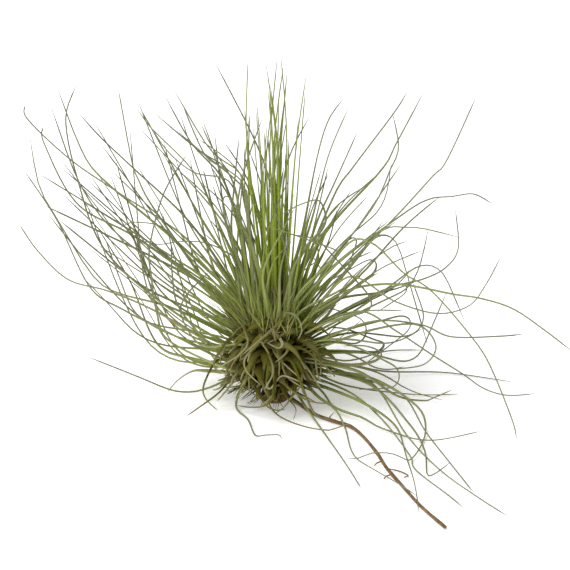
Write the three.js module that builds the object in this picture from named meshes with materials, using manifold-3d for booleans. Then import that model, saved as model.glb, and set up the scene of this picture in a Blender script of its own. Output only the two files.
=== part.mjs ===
// A thread-leaved air plant, whole and potless, standing on the flat foot of its own short stem.
// Millimetres, +Z up. The origin is the middle of the foot. The plant's front is towards -Y.
// About 190 needle leaves stand out of a small bulb. Their places follow the golden angle, as in
// the living plant, and each habit below bends the leaves of one side as that side bends them.
import * as THREE from 'three';
import { mergeVertices } from 'three/addons/utils/BufferGeometryUtils.js';
import Module from 'manifold-3d';

const wasm = await Module();
wasm.setup();

// ---------- driving dimensions: millimetres and degrees ----------
const BULB = { middle: 13, radius: 10.5, half: 11 };
const CORE = { radius: 9.4, bottom: 4.6, top: 22, rows: 6, sides: 16 };
const STEM = {
  foot: 3.8, edge: 0.4, waist: 3.6, waistAt: 3, neck: 3.1, neckAt: 5.5, height: 8, fit: 0.3, sides: 24,
};
const HEART = {
  radius: 3.5, foot: 18, flare: 0.12, plug: 3.2, plugHeight: 3.3, plugTip: 1.9, plugTop: 7.3, seat: 16,
  tilt: 6.5, straighten: 6, spread: 2.2, lengths: [46, 79], seed: 1100,
};
const ROOT = {
  girth: 0.75, tipGirth: 0.55, sides: 8, fit: 0.3, rootlet: 0.4, rootletSides: 5, slack: 0.175,
};
const LEAF = { sheath: 1, neck: 0.68, neckAt: 8, middle: 0.48, tip: 0.4, sides: 3, lengths: [60, 80] };
const GOLDEN_ANGLE = THREE.MathUtils.degToRad(137.508);
const ROSETTE_LEAVES = 190;
const HEART_LEAVES = 34;
const EVERY_OTHER = 2;            // this model has every other even leaf, all over
const EVERY_FIFTH = 5;            // and every fifth young leaf
const SLOPE = { lowest: -30, highest: 68, crowding: 0.85, leaves: [-7, 9] };
const WANDER = { azimuth: [-0.15, 0.15], place: [0.3, 0.6], spread: 0.7, lift: [-12, 12], swing: [-26, 26] };
const SUNK = 0.72;                // how deep in the bulb a leaf starts
const LEAF_CLEAR = 1.5;           // the grey leaves' distance from the heart's cone
const GROUND = { lie: 0.45, landing: 9, ride: 2.6, rideHalf: 1.2, rideReach: 7 };
const CLEAR_BELOW = 4;            // the heart's cone is also kept clear this far below its foot
const ABOVE_ALL = 120;            // a height over every leaf
const GROWTH_STEPS = 32;
const CURVE_STEPS = 8;
const SLACK = 1;               // a leaf's facets keep this close to its curve

// How the leaves of each side bend. Lengths are millimetres or shares of the usual length, turns are
// degrees, and a bend's place and spread are shares of its leaf. A pair is the range of a draw.
const FRONT = {
  facing: 0.45, notRight: 0.6, notSteep: 60, low: { facing: 0.12, slope: 8 },
  mostlyShort: 0.8, short: [9, 20], long: [22, 40],
  over: { place: 0.32, spread: 0.5, fall: [40, 115], swing: [-50, 60] },
  curl: { place: 0.75, spread: 0.4, lift: [-90, 40], swing: [-70, 70] },
};
const LEFT = {
  from: -0.15, lean: { place: 0.26, spread: 0.44, fall: [8, 28], from: 10, full: 50 },
  sweep: { place: [0.3, 0.36], later: 0.14, spread: [0.5, 0.66], swing: [-24, 24] },
  endSlope: [46, 74], vigour: [0.85, 1.1], leanBack: 0.6, steep: [30, 70], low: 30,
  reach: 0.98, steepLoss: 0.14, lowLoss: 0.25,
};
const UPRIGHT = {
  until: 0.15, reach: [0.7, 1], place: 0.5, spread: 0.8, lift: [-16, 16], swing: [-20, 20],
};
const STEEP_RIGHT = {
  from: 40, reach: [0.5, 0.8], lean: { place: 0.3, spread: 0.5, lift: [-24, 4] },
  end: { place: 0.75, spread: 0.5, lift: [-20, 26], swing: [-12, 12] },
};
const HOOKED = {
  share: 0.5, upward: 0.35, reach: [0.6, 0.95], lean: { place: 0.3, spread: 0.4, lift: [-30, 10] },
  hook: { place: [0.5, 0.78], spread: [0.22, 0.45], turn: [70, 200], swing: [-60, 60] },
};
const DROOPING = {
  reach: [0.45, 0.9], droop: { place: [0.3, 0.6], spread: 0.8, lift: [-60, 5], swing: [-30, 30] },
  end: { place: 0.8, spread: 0.4, lift: [-60, 80], swing: [-60, 60] },
};
// The young upright leaves round the heart. In front they part and stay short. On the right, which is
// where the cosine is over leanRight, their length is a draw of its own.
const YOUNG = {
  count: 75, seed: 3000, foot: [18, 20.5], away: [5.2, 6.2], slope: [66, 88], short: [22, 44],
  long: [44, 66], parting: { azimuth: -84, half: 24, share: 0.6 }, leanRight: 0.1, rightShare: [0.7, 1.15],
};
const YOUNG_BENDS = [
  { place: 0.3, spread: 0.6, lift: [-12, 6], swing: [-16, 16] },
  { place: 0.75, spread: 0.5, lift: [-36, 16], swing: [-36, 36] },
];
const HEART_BENDS = [
  { place: 0.3, spread: 0.6, lift: [-1, 5], swing: [-4, 4] },
  { place: 0.75, spread: 0.5, lift: [-5, 8], swing: [-9, 9] },
];

const COLOURS = { stem: 0x6f5a3c, root: 0x96764f, rosette: 0x7d8a5c, heart: 0x74903a };

// The long root's way over the ground, from inside the stem to its tip.
const ROOT_WAY = [
  [2, -2, 3], [7, -7, 1.2], [11, -12, 0.8], [16, -16, 0.8], [20, -19, 0.8], [23, -25, 0.8],
  [26, -34, 0.8], [28, -42, 0.8], [32, -53, 0.8], [35, -61, 0.8], [40, -71, 0.8],
];
const ROOTLETS = [
  [[27, -38, 0.8], [25.6, -38.8, 0.6], [25, -39.8, 0.5]],
  [[28, -42, 0.8], [31, -43, 0.6], [33, -45, 0.5], [32, -46, 0.5]],
  [[29, -45, 0.8], [27.6, -45.7, 0.6], [27, -46.7, 0.5]],
];

// The leaves that leave the even spread: each goes its own way through these points.
const SWEPT_LEFT = [
  [[-12, -2, 14], [-31, -4, 27], [-43, -7, 34], [-53, -9, 38], [-60, -12, 47], [-64, -14, 55]],
  [[-11, -6, 13], [-29, -9, 24], [-39, -12, 31], [-47, -14, 38], [-54, -17, 57], [-61, -20, 71]],
  [[-13, 2, 18], [-28, 4, 25], [-40, 5, 28], [-48, 7, 32], [-57, 9, 47], [-62, 10, 57], [-64, 12, 70]],
  [[-11, 4, 27], [-23, 7, 43], [-41, 10, 55], [-54, 14, 63], [-65, 17, 73], [-66, 20, 76]],
  [[-12, -3, 17], [-29, -4, 29], [-44, -5, 45], [-50, -5, 64], [-52, -7, 80], [-49, -8, 89]],
  [[-10, 5, 27], [-28, 10, 43], [-46, 16, 57], [-52, 21, 64], [-58, 26, 79]],
  [[-10, 3, 30], [-22, 1, 50], [-36, 0, 65], [-44, -2, 74], [-49, -4, 81]],
  [[-12, 5, 22], [-31, 8, 50], [-36, 12, 58], [-38, 15, 63], [-41, 18, 81]],
  [[-8, 4, 31], [-15, 7, 48], [-21, 9, 61], [-32, 12, 72], [-36, 14, 77]],
  [[-5, -4, 36], [-6, -6, 57], [-9, -8, 64], [-21, -10, 75], [-29, -12, 83]],
  [[-7, 5, 35], [-13, 11, 57], [-22, 18, 66], [-29, 24, 77]],
  [[-4, -3, 38], [-7, -6, 63], [-16, -9, 73], [-24, -16, 90]],
  [[-11, -4, 23], [-29, -9, 41], [-41, -14, 54], [-48, -19, 68], [-53, -24, 88]],
  [[-10, 6, 23], [-36, 12, 41], [-53, 18, 49], [-62, 24, 64], [-63, 30, 67]],
  [[-10, -9, 12], [-27, -12, 22], [-30, -15, 31], [-31, -17, 42], [-31, -20, 51], [-27, -23, 66],
    [-21, -26, 77]],
  [[-10, -9, 20], [-19, -10, 20], [-24, -10, 28], [-23, -11, 34], [-17, -12, 41]],
  [[-3, -5, 39], [-9, -7, 54], [-9, -9, 61], [-7, -11, 70], [-3, -13, 82]],
  [[-10, 0, 9], [-23, 2, 11], [-30, 5, 12], [-34, 7, 17], [-39, 10, 30], [-47, 12, 44]],
  [[-10, -3, 9], [-18, -2, 9], [-22, 0, 8], [-26, 1, 5], [-29, 2, 1]],
  [[-7, 3, 34], [-9, 0, 54], [-12, 3, 63], [-18, 8, 66], [-24, 18, 76]],
  [[-7, -3, 32], [-9, -5, 56], [-12, -7, 67], [-18, -11, 73], [-24, -15, 80]],
  [[-8, 4, 30], [-9, 5, 50], [-12, 5, 60], [-21, 9, 61], [-28, 14, 65], [-33, 18, 71]],
  [[-5, 6, 34], [-7, 4, 57], [-13, 8, 63], [-17, 10, 69], [-19, 12, 73]],
];
const SWEPT_RIGHT = [
  [[6, 3, 26], [17, 6, 37], [34, 8, 50], [41, 11, 53], [47, 13, 53], [53, 15, 53], [58, 16, 50]],
  [[6, 2, 26], [16, 4, 34], [31, 6, 49], [41, 8, 60], [45, 10, 64], [52, 12, 80]],
  [[6, -5, 29], [18, -6, 43], [28, -7, 51], [33, -8, 52], [38, -9, 52], [47, -10, 50]],
  [[8, -3, 21], [28, -2, 32], [39, -1, 35], [45, 0, 38], [48, 1, 43], [47, 2, 53]],
  [[8, -5, 24], [19, -7, 38], [31, -9, 32], [42, -10, 29], [50, -12, 32], [54, -14, 39], [57, -16, 47]],
  [[7, -3, 24], [18, -5, 33], [31, -7, 36], [46, -9, 34], [53, -12, 34], [61, -14, 32], [69, -16, 27],
    [76, -18, 22]],
  [[9, -5, 18], [25, -6, 25], [38, -8, 25], [46, -9, 22], [58, -11, 23], [64, -12, 24]],
  [[8, -5, 22], [22, -6, 28], [32, -8, 23], [41, -9, 17], [49, -10, 12], [55, -11, 8], [61, -13, 7],
    [68, -14, 8]],
  [[7, -3, 26], [18, -6, 46], [25, -9, 48], [33, -12, 41], [40, -14, 37], [50, -17, 26], [55, -20, 19],
    [61, -23, 5], [62, -26, 1]],
  [[10, -6, 17], [25, -7, 23], [37, -8, 25], [42, -10, 20], [39, -11, 15], [30, -12, 14]],
  [[10, -7, 14], [22, -9, 12], [32, -11, 6], [39, -12, 5], [42, -14, 7], [46, -16, 10]],
  [[10, -4, 15], [20, -3, 15], [27, -1, 14], [29, 0, 16], [26, 1, 17], [19, 3, 19], [14, 4, 19]],
  [[10, -7, 15], [19, -7, 13], [26, -7, 14], [28, -6, 16], [24, -6, 18], [18, -6, 18]],
  [[3, 5, 29], [7, 8, 43], [11, 11, 64], [14, 13, 74], [18, 16, 79]],
  [[4, 4, 29], [10, 6, 50], [14, 8, 66], [19, 10, 78]],
  [[5, 5, 28], [11, 11, 46], [16, 16, 56], [22, 22, 68]],
  [[5, 2, 29], [15, 0, 57], [20, -2, 66], [30, -4, 81], [33, -6, 87]],
  [[6, 4, 27], [13, 8, 44], [28, 11, 61], [32, 15, 67], [39, 18, 80]],
  [[6, -4, 30], [24, -6, 55], [29, -8, 67], [31, -10, 74], [29, -14, 84]],
  [[3, -5, 34], [8, -7, 46], [12, -10, 52], [13, -11, 56], [11, -13, 61], [6, -14, 60], [2, -15, 58]],
  [[6, -6, 32], [12, -8, 40], [15, -10, 44], [16, -12, 47], [8, -14, 51], [-1, -16, 55]],
  [[7, -6, 28], [18, -7, 35], [24, -8, 42], [30, -9, 47], [34, -10, 49]],
];
const CURLED_FRONT = [
  [[-2, -6, 20], [-1, -9, 25], [3, -10, 29], [6, -11, 28], [7, -12, 25], [6, -13, 23]],
  [[-1, -6, 25], [0, -10, 24], [2, -13, 22], [1, -14, 21], [-2, -15, 23]],
  [[-1, -8, 22], [0, -12, 19], [2, -14, 17], [7, -16, 13]],
  [[-1, -8, 19], [-2, -13, 11], [-1, -15, 10], [2, -16, 14], [7, -18, 13]],
  [[3, -7, 18], [8, -12, 15], [12, -15, 10]],
  [[5, -5, 22], [10, -9, 18], [11, -11, 13], [12, -13, 11]],
  [[-4, -6, 22], [-6, -11, 20], [-7, -14, 17]],
  [[-7, -7, 14], [-11, -11, 11], [-11, -14, 9]],
];
const TRAILING = [
  [[-5, -4, 15], [-8, -9, 9], [-10, -6, 3], [-10, -9, 1], [-7, -15, 1], [-5, -24, 1], [-2, -24, 1],
    [1, -24, 1], [2, -26, 1]],
  [[7, 4, 6], [10, -4, 4], [16, -10, 2], [30, -22, 1], [40, -27, 1], [53, -22, 1]],
  [[9, 6, 8], [19, -1, 8], [27, -6, 6], [34, -24, 1], [41, -43, 1], [49, -57, 1], [55, -66, 1]],
  [[8, 4, 7], [20, -1, 7], [33, -9, 6], [39, -22, 1], [44, -40, 1], [48, -54, 1]],
  [[8, 5, 5], [20, -7, 5], [28, -17, 2], [34, -35, 1], [35, -43, 1], [42, -56, 1], [45, -62, 1]],
  [[7, 2, 5], [22, -12, 5], [31, -20, 2], [33, -34, 1], [34, -56, 1], [34, -67, 1]],
  [[5, 0, 4], [8, -11, 3], [17, -37, 1], [21, -52, 1]],
  [[7, 5, 4], [13, -3, 3], [18, -22, 1], [21, -38, 1], [34, -60, 1]],
  [[8, 3, 7], [25, -4, 8], [37, -15, 5], [39, -22, 1], [35, -36, 1], [31, -38, 1], [18, -37, 1]],
  [[8, 5, 7], [25, -6, 7], [35, -20, 2], [38, -33, 1], [38, -46, 1], [44, -39, 1]],
];

// ---------- small helpers ----------
const { clamp, degToRad, radToDeg } = THREE.MathUtils;
const asVectors = (points) => points.map((point) => new THREE.Vector3(...point));

// Each leaf has its own seeded run of draws, so one leaf can change and the rest stay.
function drawsFor(seed) {
  const MODULUS = 2147483647;
  const MULTIPLIER = 48271;
  let state = seed * 7919 + 12345;
  const draw = (low, high) => {
    state = (state * MULTIPLIER) % MODULUS;
    return low + ((high - low) * state) / MODULUS;
  };
  draw(0, 1);
  draw(0, 1);
  return draw;
}

// A smooth hump of area 1 round one place of the leaf, 0 at its root and 1 at its tip.
function swell(along, place, spread) {
  const x = (along - place) / spread;
  return Math.abs(x) < 0.5 ? (1 + Math.cos(2 * Math.PI * x)) / spread : 0;
}

function smoothThrough(points) {
  const curve = [];
  const last = points.length - 1;
  const spline = (a, b, c, d, t) =>
    0.5 * (2 * b + (c - a) * t + (2 * a - 5 * b + 4 * c - d) * t * t + (3 * b - a - 3 * c + d) * t * t * t);
  for (let j = 0; j < last; j += 1) {
    const before = points[Math.max(0, j - 1)];
    const after = points[Math.min(last, j + 2)];
    for (let k = 0; k < CURVE_STEPS; k += 1) {
      const t = k / CURVE_STEPS;
      const axes = ['x', 'y', 'z'].map((axis) =>
        spline(before[axis], points[j][axis], points[j + 1][axis], after[axis], t));
      curve.push(new THREE.Vector3(...axes));
    }
  }
  curve.push(points[last].clone());
  return curve;
}

// Drops the points that lie within the slack of a straight line between those kept.
function thin(points, slack) {
  const chord = new THREE.Line3(points[0], points[points.length - 1]);
  const foot = new THREE.Vector3();
  let farthest = 0;
  let distance = slack;
  for (let j = 1; j < points.length - 1; j += 1) {
    const gap = chord.closestPointToPoint(points[j], true, foot).distanceTo(points[j]);
    if (gap > distance) {
      farthest = j;
      distance = gap;
    }
  }
  if (farthest === 0) return [points[0], points[points.length - 1]];
  const head = thin(points.slice(0, farthest + 1), slack);
  return head.slice(0, -1).concat(thin(points.slice(farthest), slack));
}

// ---------- solids ----------
function toSolid(geometry) {
  const bare = geometry.clone();
  bare.deleteAttribute('normal');
  bare.deleteAttribute('uv');
  const merged = mergeVertices(bare);
  const vertProperties = Float32Array.from(merged.attributes.position.array);
  const triVerts = Uint32Array.from(merged.index.array);
  return new wasm.Manifold(new wasm.Mesh({ numProp: 3, vertProperties, triVerts }));
}

function toGeometry(solid) {
  const mesh = solid.getMesh();
  const geometry = new THREE.BufferGeometry();
  geometry.setAttribute('position', new THREE.BufferAttribute(mesh.vertProperties, 3));
  geometry.setIndex(new THREE.BufferAttribute(mesh.triVerts, 1));
  return geometry;
}

function turned(profile, sides) {
  const outline = profile.map(([radius, height]) => new THREE.Vector2(radius, height));
  return toSolid(new THREE.LatheGeometry(outline, sides).rotateX(Math.PI / 2));
}

// A closed rod along a path: a cylinder whose rings are set across the path one by one.
function rod(path, girthAt, sides) {
  const rings = path.length - 1;
  const geometry = new THREE.CylinderGeometry(1, 1, 1, sides, rings);
  const lengths = [0];
  for (let j = 1; j <= rings; j += 1) lengths.push(lengths[j - 1] + path[j].distanceTo(path[j - 1]));
  const side = new THREE.Vector3(0, 0, 1);
  const frames = path.map((point, j) => {
    const ahead = path[Math.min(rings, j + 1)].clone().sub(point).normalize();
    const behind = point.clone().sub(path[Math.max(0, j - 1)]).normalize();
    const along = ahead.add(behind).normalize();
    if (j === 0 && Math.abs(along.z) > 0.9) side.set(1, 0, 0);
    side.addScaledVector(along, -side.dot(along)).normalize();
    const across = side.clone().cross(along);
    return { point, side: side.clone(), across, girth: girthAt(lengths[j], lengths[rings]) };
  });
  const position = geometry.attributes.position;
  for (let k = 0; k < position.count; k += 1) {
    const frame = frames[Math.round((position.getY(k) + 0.5) * rings)];
    const place = frame.point.clone();
    place.addScaledVector(frame.side, position.getX(k) * frame.girth);
    place.addScaledVector(frame.across, position.getZ(k) * frame.girth);
    position.setXYZ(k, place.x, place.y, place.z);
  }
  return toSolid(geometry);
}

function leafGirth(at, length) {
  if (at < LEAF.neckAt) return THREE.MathUtils.lerp(LEAF.sheath, LEAF.neck, at / LEAF.neckAt);
  const rest = (at - LEAF.neckAt) / Math.max(1, length - LEAF.neckAt);
  if (rest < 0.5) return THREE.MathUtils.lerp(LEAF.neck, LEAF.middle, rest * 2);
  return THREE.MathUtils.lerp(LEAF.middle, LEAF.tip, rest * 2 - 1);
}

const leafSolid = (path) => rod(thin(path, SLACK), leafGirth, LEAF.sides);

// The largest body of a fused solid. Scraps cut off at a clearance are dropped.
function wholeBody(solid) {
  const bodies = solid.decompose();
  return bodies.reduce((most, body) => (body.volume() > most.volume() ? body : most));
}

// ---------- where the leaves may go ----------
function rootDistance(x, y) {
  const here = new THREE.Vector3(x, y, 0);
  const foot = new THREE.Vector3();
  let nearest = Infinity;
  for (let j = 1; j < ROOT_WAY.length; j += 1) {
    const [ax, ay] = ROOT_WAY[j - 1];
    const [bx, by] = ROOT_WAY[j];
    const stretch = new THREE.Line3(new THREE.Vector3(ax, ay, 0), new THREE.Vector3(bx, by, 0));
    nearest = Math.min(nearest, stretch.closestPointToPoint(here, true, foot).distanceTo(here));
  }
  return nearest;
}

// How high a leaf's middle line lies on the ground: where the root runs, it rides over it.
function lie(x, y) {
  const near = clamp(1 - (rootDistance(x, y) - GROUND.rideHalf) / GROUND.rideReach, 0, 1);
  return GROUND.lie + GROUND.ride * near * near * (3 - 2 * near);
}

const heartRoom = (z) => HEART.radius + HEART.flare * Math.max(0, z - HEART.foot);

// Moves a point out of the heart's cone and up to the ground.
function keepClear(point) {
  const room = heartRoom(point.z) + LEAF_CLEAR;
  const away = Math.hypot(point.x, point.y);
  if (point.z > HEART.foot - CLEAR_BELOW && away < room) {
    point.x *= room / away;
    point.y *= room / away;
  }
  point.z = Math.max(point.z, lie(point.x, point.y));
  return point;
}

function emerge(azimuth, slope) {
  const angle = degToRad(slope);
  const away = Math.max(HEART.radius + LEAF_CLEAR, BULB.radius * SUNK * Math.cos(angle));
  const height = BULB.middle + BULB.half * SUNK * Math.sin(angle);
  return new THREE.Vector3(away * Math.cos(azimuth), away * Math.sin(azimuth), height);
}

// Grows a leaf step by step. A bend is [place, spread, degrees up, degrees to the side].
function grow(start, azimuth, slope, length, bends, settle) {
  const angle = degToRad(slope);
  const flatAhead = Math.cos(angle);
  const along = new THREE.Vector3(
    flatAhead * Math.cos(azimuth), flatAhead * Math.sin(azimuth), Math.sin(angle));
  const side = new THREE.Vector3(-Math.sin(azimuth), Math.cos(azimuth), 0);
  const point = start.clone();
  const path = [point.clone()];
  for (let k = 0; k < GROWTH_STEPS; k += 1) {
    const at = (k + 0.5) / GROWTH_STEPS;
    const up = along.clone().cross(side);
    let lift = 0;
    let turn = 0;
    for (const [place, spread, upward, sideways] of bends) {
      lift += (degToRad(upward) * swell(at, place, spread)) / GROWTH_STEPS;
      turn += (degToRad(sideways) * swell(at, place, spread)) / GROWTH_STEPS;
    }
    along.addScaledVector(up, lift).addScaledVector(side, turn).normalize();
    const steepest = -(point.z - lie(point.x, point.y)) / GROUND.landing;
    if (along.z < steepest) {
      const level = Math.sqrt(1 - steepest * steepest) / Math.hypot(along.x, along.y);
      along.set(along.x * level, along.y * level, steepest);
    }
    side.addScaledVector(along, -side.dot(along)).normalize();
    point.addScaledVector(along, length / GROWTH_STEPS);
    if (settle) settle(point);
    path.push(point.clone());
  }
  return path;
}

// ---------- how the leaves of each side bend ----------
const bendOf = (draw, { place, spread, lift, swing }) => [place, spread, draw(...lift), draw(...swing)];

const frontHabit = (draw) => {
  const length = draw(0, 1) < FRONT.mostlyShort ? draw(...FRONT.short) : draw(...FRONT.long);
  const { place, spread, fall, swing } = FRONT.over;
  const over = [place, spread, -draw(...fall), draw(...swing)];
  return { length, bends: [over, bendOf(draw, FRONT.curl)] };
};

const leftHabit = (draw, slope, length) => {
  const [steepFrom, steepest] = LEFT.steep;
  const { place, spread, fall, from, full } = LEFT.lean;
  const steep = clamp((slope - steepFrom) / (steepest - steepFrom), 0, 1);
  const lean = draw(...fall) * clamp((slope - from) / (full - from), 0, 1);
  const rise = Math.max(0, draw(...LEFT.endSlope) - slope) * draw(...LEFT.vigour);
  const sweepAt = draw(...LEFT.sweep.place) + LEFT.sweep.later * clamp(slope / steepFrom, 0, 1);
  const sweepOver = draw(...LEFT.sweep.spread);
  const sweep = [sweepAt, sweepOver, rise + LEFT.leanBack * lean, draw(...LEFT.sweep.swing)];
  const low = clamp(-slope / LEFT.low, 0, 1);
  const reach = length * (LEFT.reach - LEFT.steepLoss * steep - LEFT.lowLoss * low);
  return { length: reach, bends: [[place, spread, -lean, 0], sweep] };
};

const steepRightHabit = (draw, slope, length) => {
  const reach = length * draw(...STEEP_RIGHT.reach);
  const { place, spread, lift } = STEEP_RIGHT.lean;
  const lean = [place, spread, draw(...lift), 0];
  return { length: reach, bends: [lean, bendOf(draw, STEEP_RIGHT.end)] };
};

const hookedHabit = (draw, slope, length) => {
  const sense = draw(0, 1) < HOOKED.upward ? 1 : -1;
  const reach = length * draw(...HOOKED.reach);
  const { place, spread, lift } = HOOKED.lean;
  const lean = [place, spread, draw(...lift), 0];
  const { hook } = HOOKED;
  const turn = [draw(...hook.place), draw(...hook.spread), sense * draw(...hook.turn), draw(...hook.swing)];
  return { length: reach, bends: [lean, turn] };
};

const droopingHabit = (draw, slope, length) => {
  const reach = length * draw(...DROOPING.reach);
  const { place, spread, lift, swing } = DROOPING.droop;
  const droop = [draw(...place), spread, draw(...lift), draw(...swing)];
  return { length: reach, bends: [droop, bendOf(draw, DROOPING.end)] };
};

const uprightHabit = (draw, slope, length) => {
  const reach = length * draw(...UPRIGHT.reach);
  return { length: reach, bends: [bendOf(draw, UPRIGHT)] };
};

function habitOf(draw, azimuth, slope) {
  const toRight = Math.cos(azimuth);
  const toFront = -Math.sin(azimuth);
  const inFront = toFront > FRONT.facing && toRight < FRONT.notRight && slope < FRONT.notSteep;
  if (inFront || (toFront > FRONT.low.facing && slope < FRONT.low.slope)) return frontHabit;
  if (toRight < LEFT.from) return leftHabit;
  if (toRight < UPRIGHT.until) return uprightHabit;
  if (slope > STEEP_RIGHT.from) return steepRightHabit;
  return draw(0, 1) < HOOKED.share ? hookedHabit : droopingHabit;
}

function rosettePath(index) {
  const draw = drawsFor(index + 1);
  const azimuth = index * GOLDEN_ANGLE + draw(...WANDER.azimuth);
  const height = ((index + 0.5) / ROSETTE_LEAVES) ** SLOPE.crowding;
  const slope = SLOPE.lowest + (SLOPE.highest - SLOPE.lowest) * height;
  const leaving = slope + draw(...SLOPE.leaves);
  const drift = [draw(...WANDER.place), WANDER.spread, draw(...WANDER.lift), draw(...WANDER.swing)];
  const usual = draw(...LEAF.lengths);
  const { length, bends } = habitOf(draw, azimuth, slope)(draw, slope, usual);
  return grow(emerge(azimuth, slope), azimuth, leaving, length, [drift, ...bends], keepClear);
}

function strayPath(points) {
  const [first] = points;
  const azimuth = Math.atan2(first.y, first.x);
  const rise = (first.z - BULB.middle) / BULB.half;
  const slope = radToDeg(Math.atan2(rise, Math.hypot(first.x, first.y) / BULB.radius));
  const rooted = [emerge(azimuth, Math.min(SLOPE.highest, slope)), ...points];
  return smoothThrough(rooted).map(keepClear);
}

function youngPath(index) {
  const draw = drawsFor(YOUNG.seed + index);
  const { foot, slope, short, long, parting } = YOUNG;
  const azimuth = index * GOLDEN_ANGLE;
  const away = draw(...YOUNG.away);
  const start = new THREE.Vector3(away * Math.cos(azimuth), away * Math.sin(azimuth), draw(...foot));
  const height = (index + 0.5) / YOUNG.count;
  const bends = YOUNG_BENDS.map((bend) => bendOf(draw, bend));
  const shorter = draw(...short);
  const longer = draw(...long);
  const apart = Math.cos(azimuth - degToRad(parting.azimuth)) > Math.cos(degToRad(parting.half));
  const full = apart ? shorter * parting.share : shorter + (longer - shorter) * height;
  const length = full * (Math.cos(azimuth) > YOUNG.leanRight ? draw(...YOUNG.rightShare) : 1);
  const leaving = slope[0] + (slope[1] - slope[0]) * height;
  return grow(start, azimuth, leaving, length, bends, keepClear);
}

function heartPath(index) {
  const draw = drawsFor(HEART.seed + index);
  const inner = (index + 0.5) / HEART_LEAVES;
  const azimuth = index * GOLDEN_ANGLE;
  const out = HEART.spread * (1 - inner);
  const slope = 90 - (HEART.tilt - HEART.straighten * inner) - draw(0, 1);
  const bends = HEART_BENDS.map((bend) => bendOf(draw, bend));
  const start = new THREE.Vector3(out * Math.cos(azimuth), out * Math.sin(azimuth), HEART.seat + 1);
  return grow(start, azimuth, slope, draw(...HEART.lengths), bends, null);
}

// One leaf of each step in the spread, so that what is left is as even as the whole.
function evenLeaves(count, step, pathOf) {
  const paths = [];
  for (let index = 0; index < count; index += step) paths.push(pathOf(index));
  return paths;
}

// ---------- the pieces ----------
function makeRoot() {
  const girth = (at, length) => THREE.MathUtils.lerp(ROOT.girth, ROOT.tipGirth, at / length);
  const wayOf = (points) => thin(smoothThrough(asVectors(points)), ROOT.slack);
  const main = rod(wayOf(ROOT_WAY), girth, ROOT.sides);
  const fine = ROOTLETS.map((points) => rod(wayOf(points), () => ROOT.rootlet, ROOT.rootletSides));
  return wholeBody(wasm.Manifold.union([main, ...fine]));
}

function makeStem() {
  const { foot, edge, waist, waistAt, neck, neckAt, height, sides } = STEM;
  const body = turned([
    [0, 0], [foot - edge, 0], [foot, edge], [waist, waistAt], [neck, neckAt],
    [neck, height - edge], [neck - edge, height], [0, height],
  ], sides);
  const [inside, outside] = asVectors(ROOT_WAY.slice(0, 2));
  const lead = outside.clone().sub(inside).normalize().multiplyScalar(ROOT.fit);
  const hole = rod([inside.clone().sub(lead), outside], () => ROOT.girth + ROOT.fit, sides / 2);
  return body.subtract(hole);
}

function makeCore() {
  const profile = [[0, CORE.bottom]];
  for (let j = 0; j <= CORE.rows; j += 1) {
    const height = THREE.MathUtils.lerp(CORE.bottom, CORE.top, j / CORE.rows);
    const rise = (height - BULB.middle) / BULB.half;
    profile.push([CORE.radius * Math.sqrt(1 - rise * rise), height]);
  }
  profile.push([0, CORE.top]);
  return turned(profile, CORE.sides);
}

// The open cone in the rosette's middle, where the heart stands.
function makeHeartSocket() {
  const { radius, foot, seat } = HEART;
  return turned([
    [0, seat], [radius, seat], [radius, foot], [heartRoom(ABOVE_ALL), ABOVE_ALL], [0, ABOVE_ALL],
  ], STEM.sides);
}

// The open well under the rosette, round the stem's neck. It widens below, clear of the stem's waist.
function makeStemSocket() {
  const { neck, neckAt, height, fit } = STEM;
  const radius = neck + fit;
  return turned([
    [0, -1], [radius + 1, -1], [radius + 1, neckAt - fit], [radius, neckAt + fit],
    [radius, height + fit], [0, height + fit],
  ], STEM.sides);
}

function makeRosette() {
  const even = evenLeaves(ROSETTE_LEAVES, EVERY_OTHER, rosettePath);
  const young = evenLeaves(YOUNG.count, EVERY_FIFTH, youngPath);
  const strays = [...SWEPT_LEFT, ...SWEPT_RIGHT, ...CURLED_FRONT, ...TRAILING];
  const swept = strays.map((way) => strayPath(asVectors(way)));
  const leaves = [...even, ...young, ...swept].map(leafSolid);
  const fused = wasm.Manifold.union([makeCore(), ...leaves]);
  return wholeBody(fused.subtract(makeHeartSocket()).subtract(makeStemSocket()));
}

function makeHeart() {
  const { plug, plugHeight, plugTip, plugTop, seat } = HEART;
  const low = seat + STEM.fit;
  const stump = turned([
    [0, low], [plug - STEM.edge, low], [plug, low + STEM.edge], [plug, seat + plugHeight],
    [plugTip, seat + plugTop], [0, seat + plugTop + 1],
  ], STEM.sides);
  const leaves = evenLeaves(HEART_LEAVES, EVERY_OTHER, heartPath).map(leafSolid);
  return wholeBody(wasm.Manifold.union([stump, ...leaves]));
}

function addPiece(plant, name, solid, color, roughness) {
  const material = new THREE.MeshStandardMaterial({ color, roughness, metalness: 0 });
  const mesh = new THREE.Mesh(toGeometry(solid), material);
  mesh.name = name;
  plant.add(mesh);
}

const plant = new THREE.Group();
addPiece(plant, 'short_stem', makeStem(), COLOURS.stem, 0.9);
addPiece(plant, 'long_root', makeRoot(), COLOURS.root, 0.85);
addPiece(plant, 'rosette', makeRosette(), COLOURS.rosette, 0.75);
addPiece(plant, 'heart_tuft', makeHeart(), COLOURS.heart, 0.7);

export default plant;
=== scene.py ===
"""A thread-leaved air plant, laid out as a Blender add-on and run as a script.

Every leaf grows by the same seeded rule as the plant's solids, so the fine leaves lie where the
stout ones do. That rule is in millimetres. Meshes, and the sizes in the sidebar, are in metres.
"""

import math
from types import SimpleNamespace as Sizes

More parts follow.
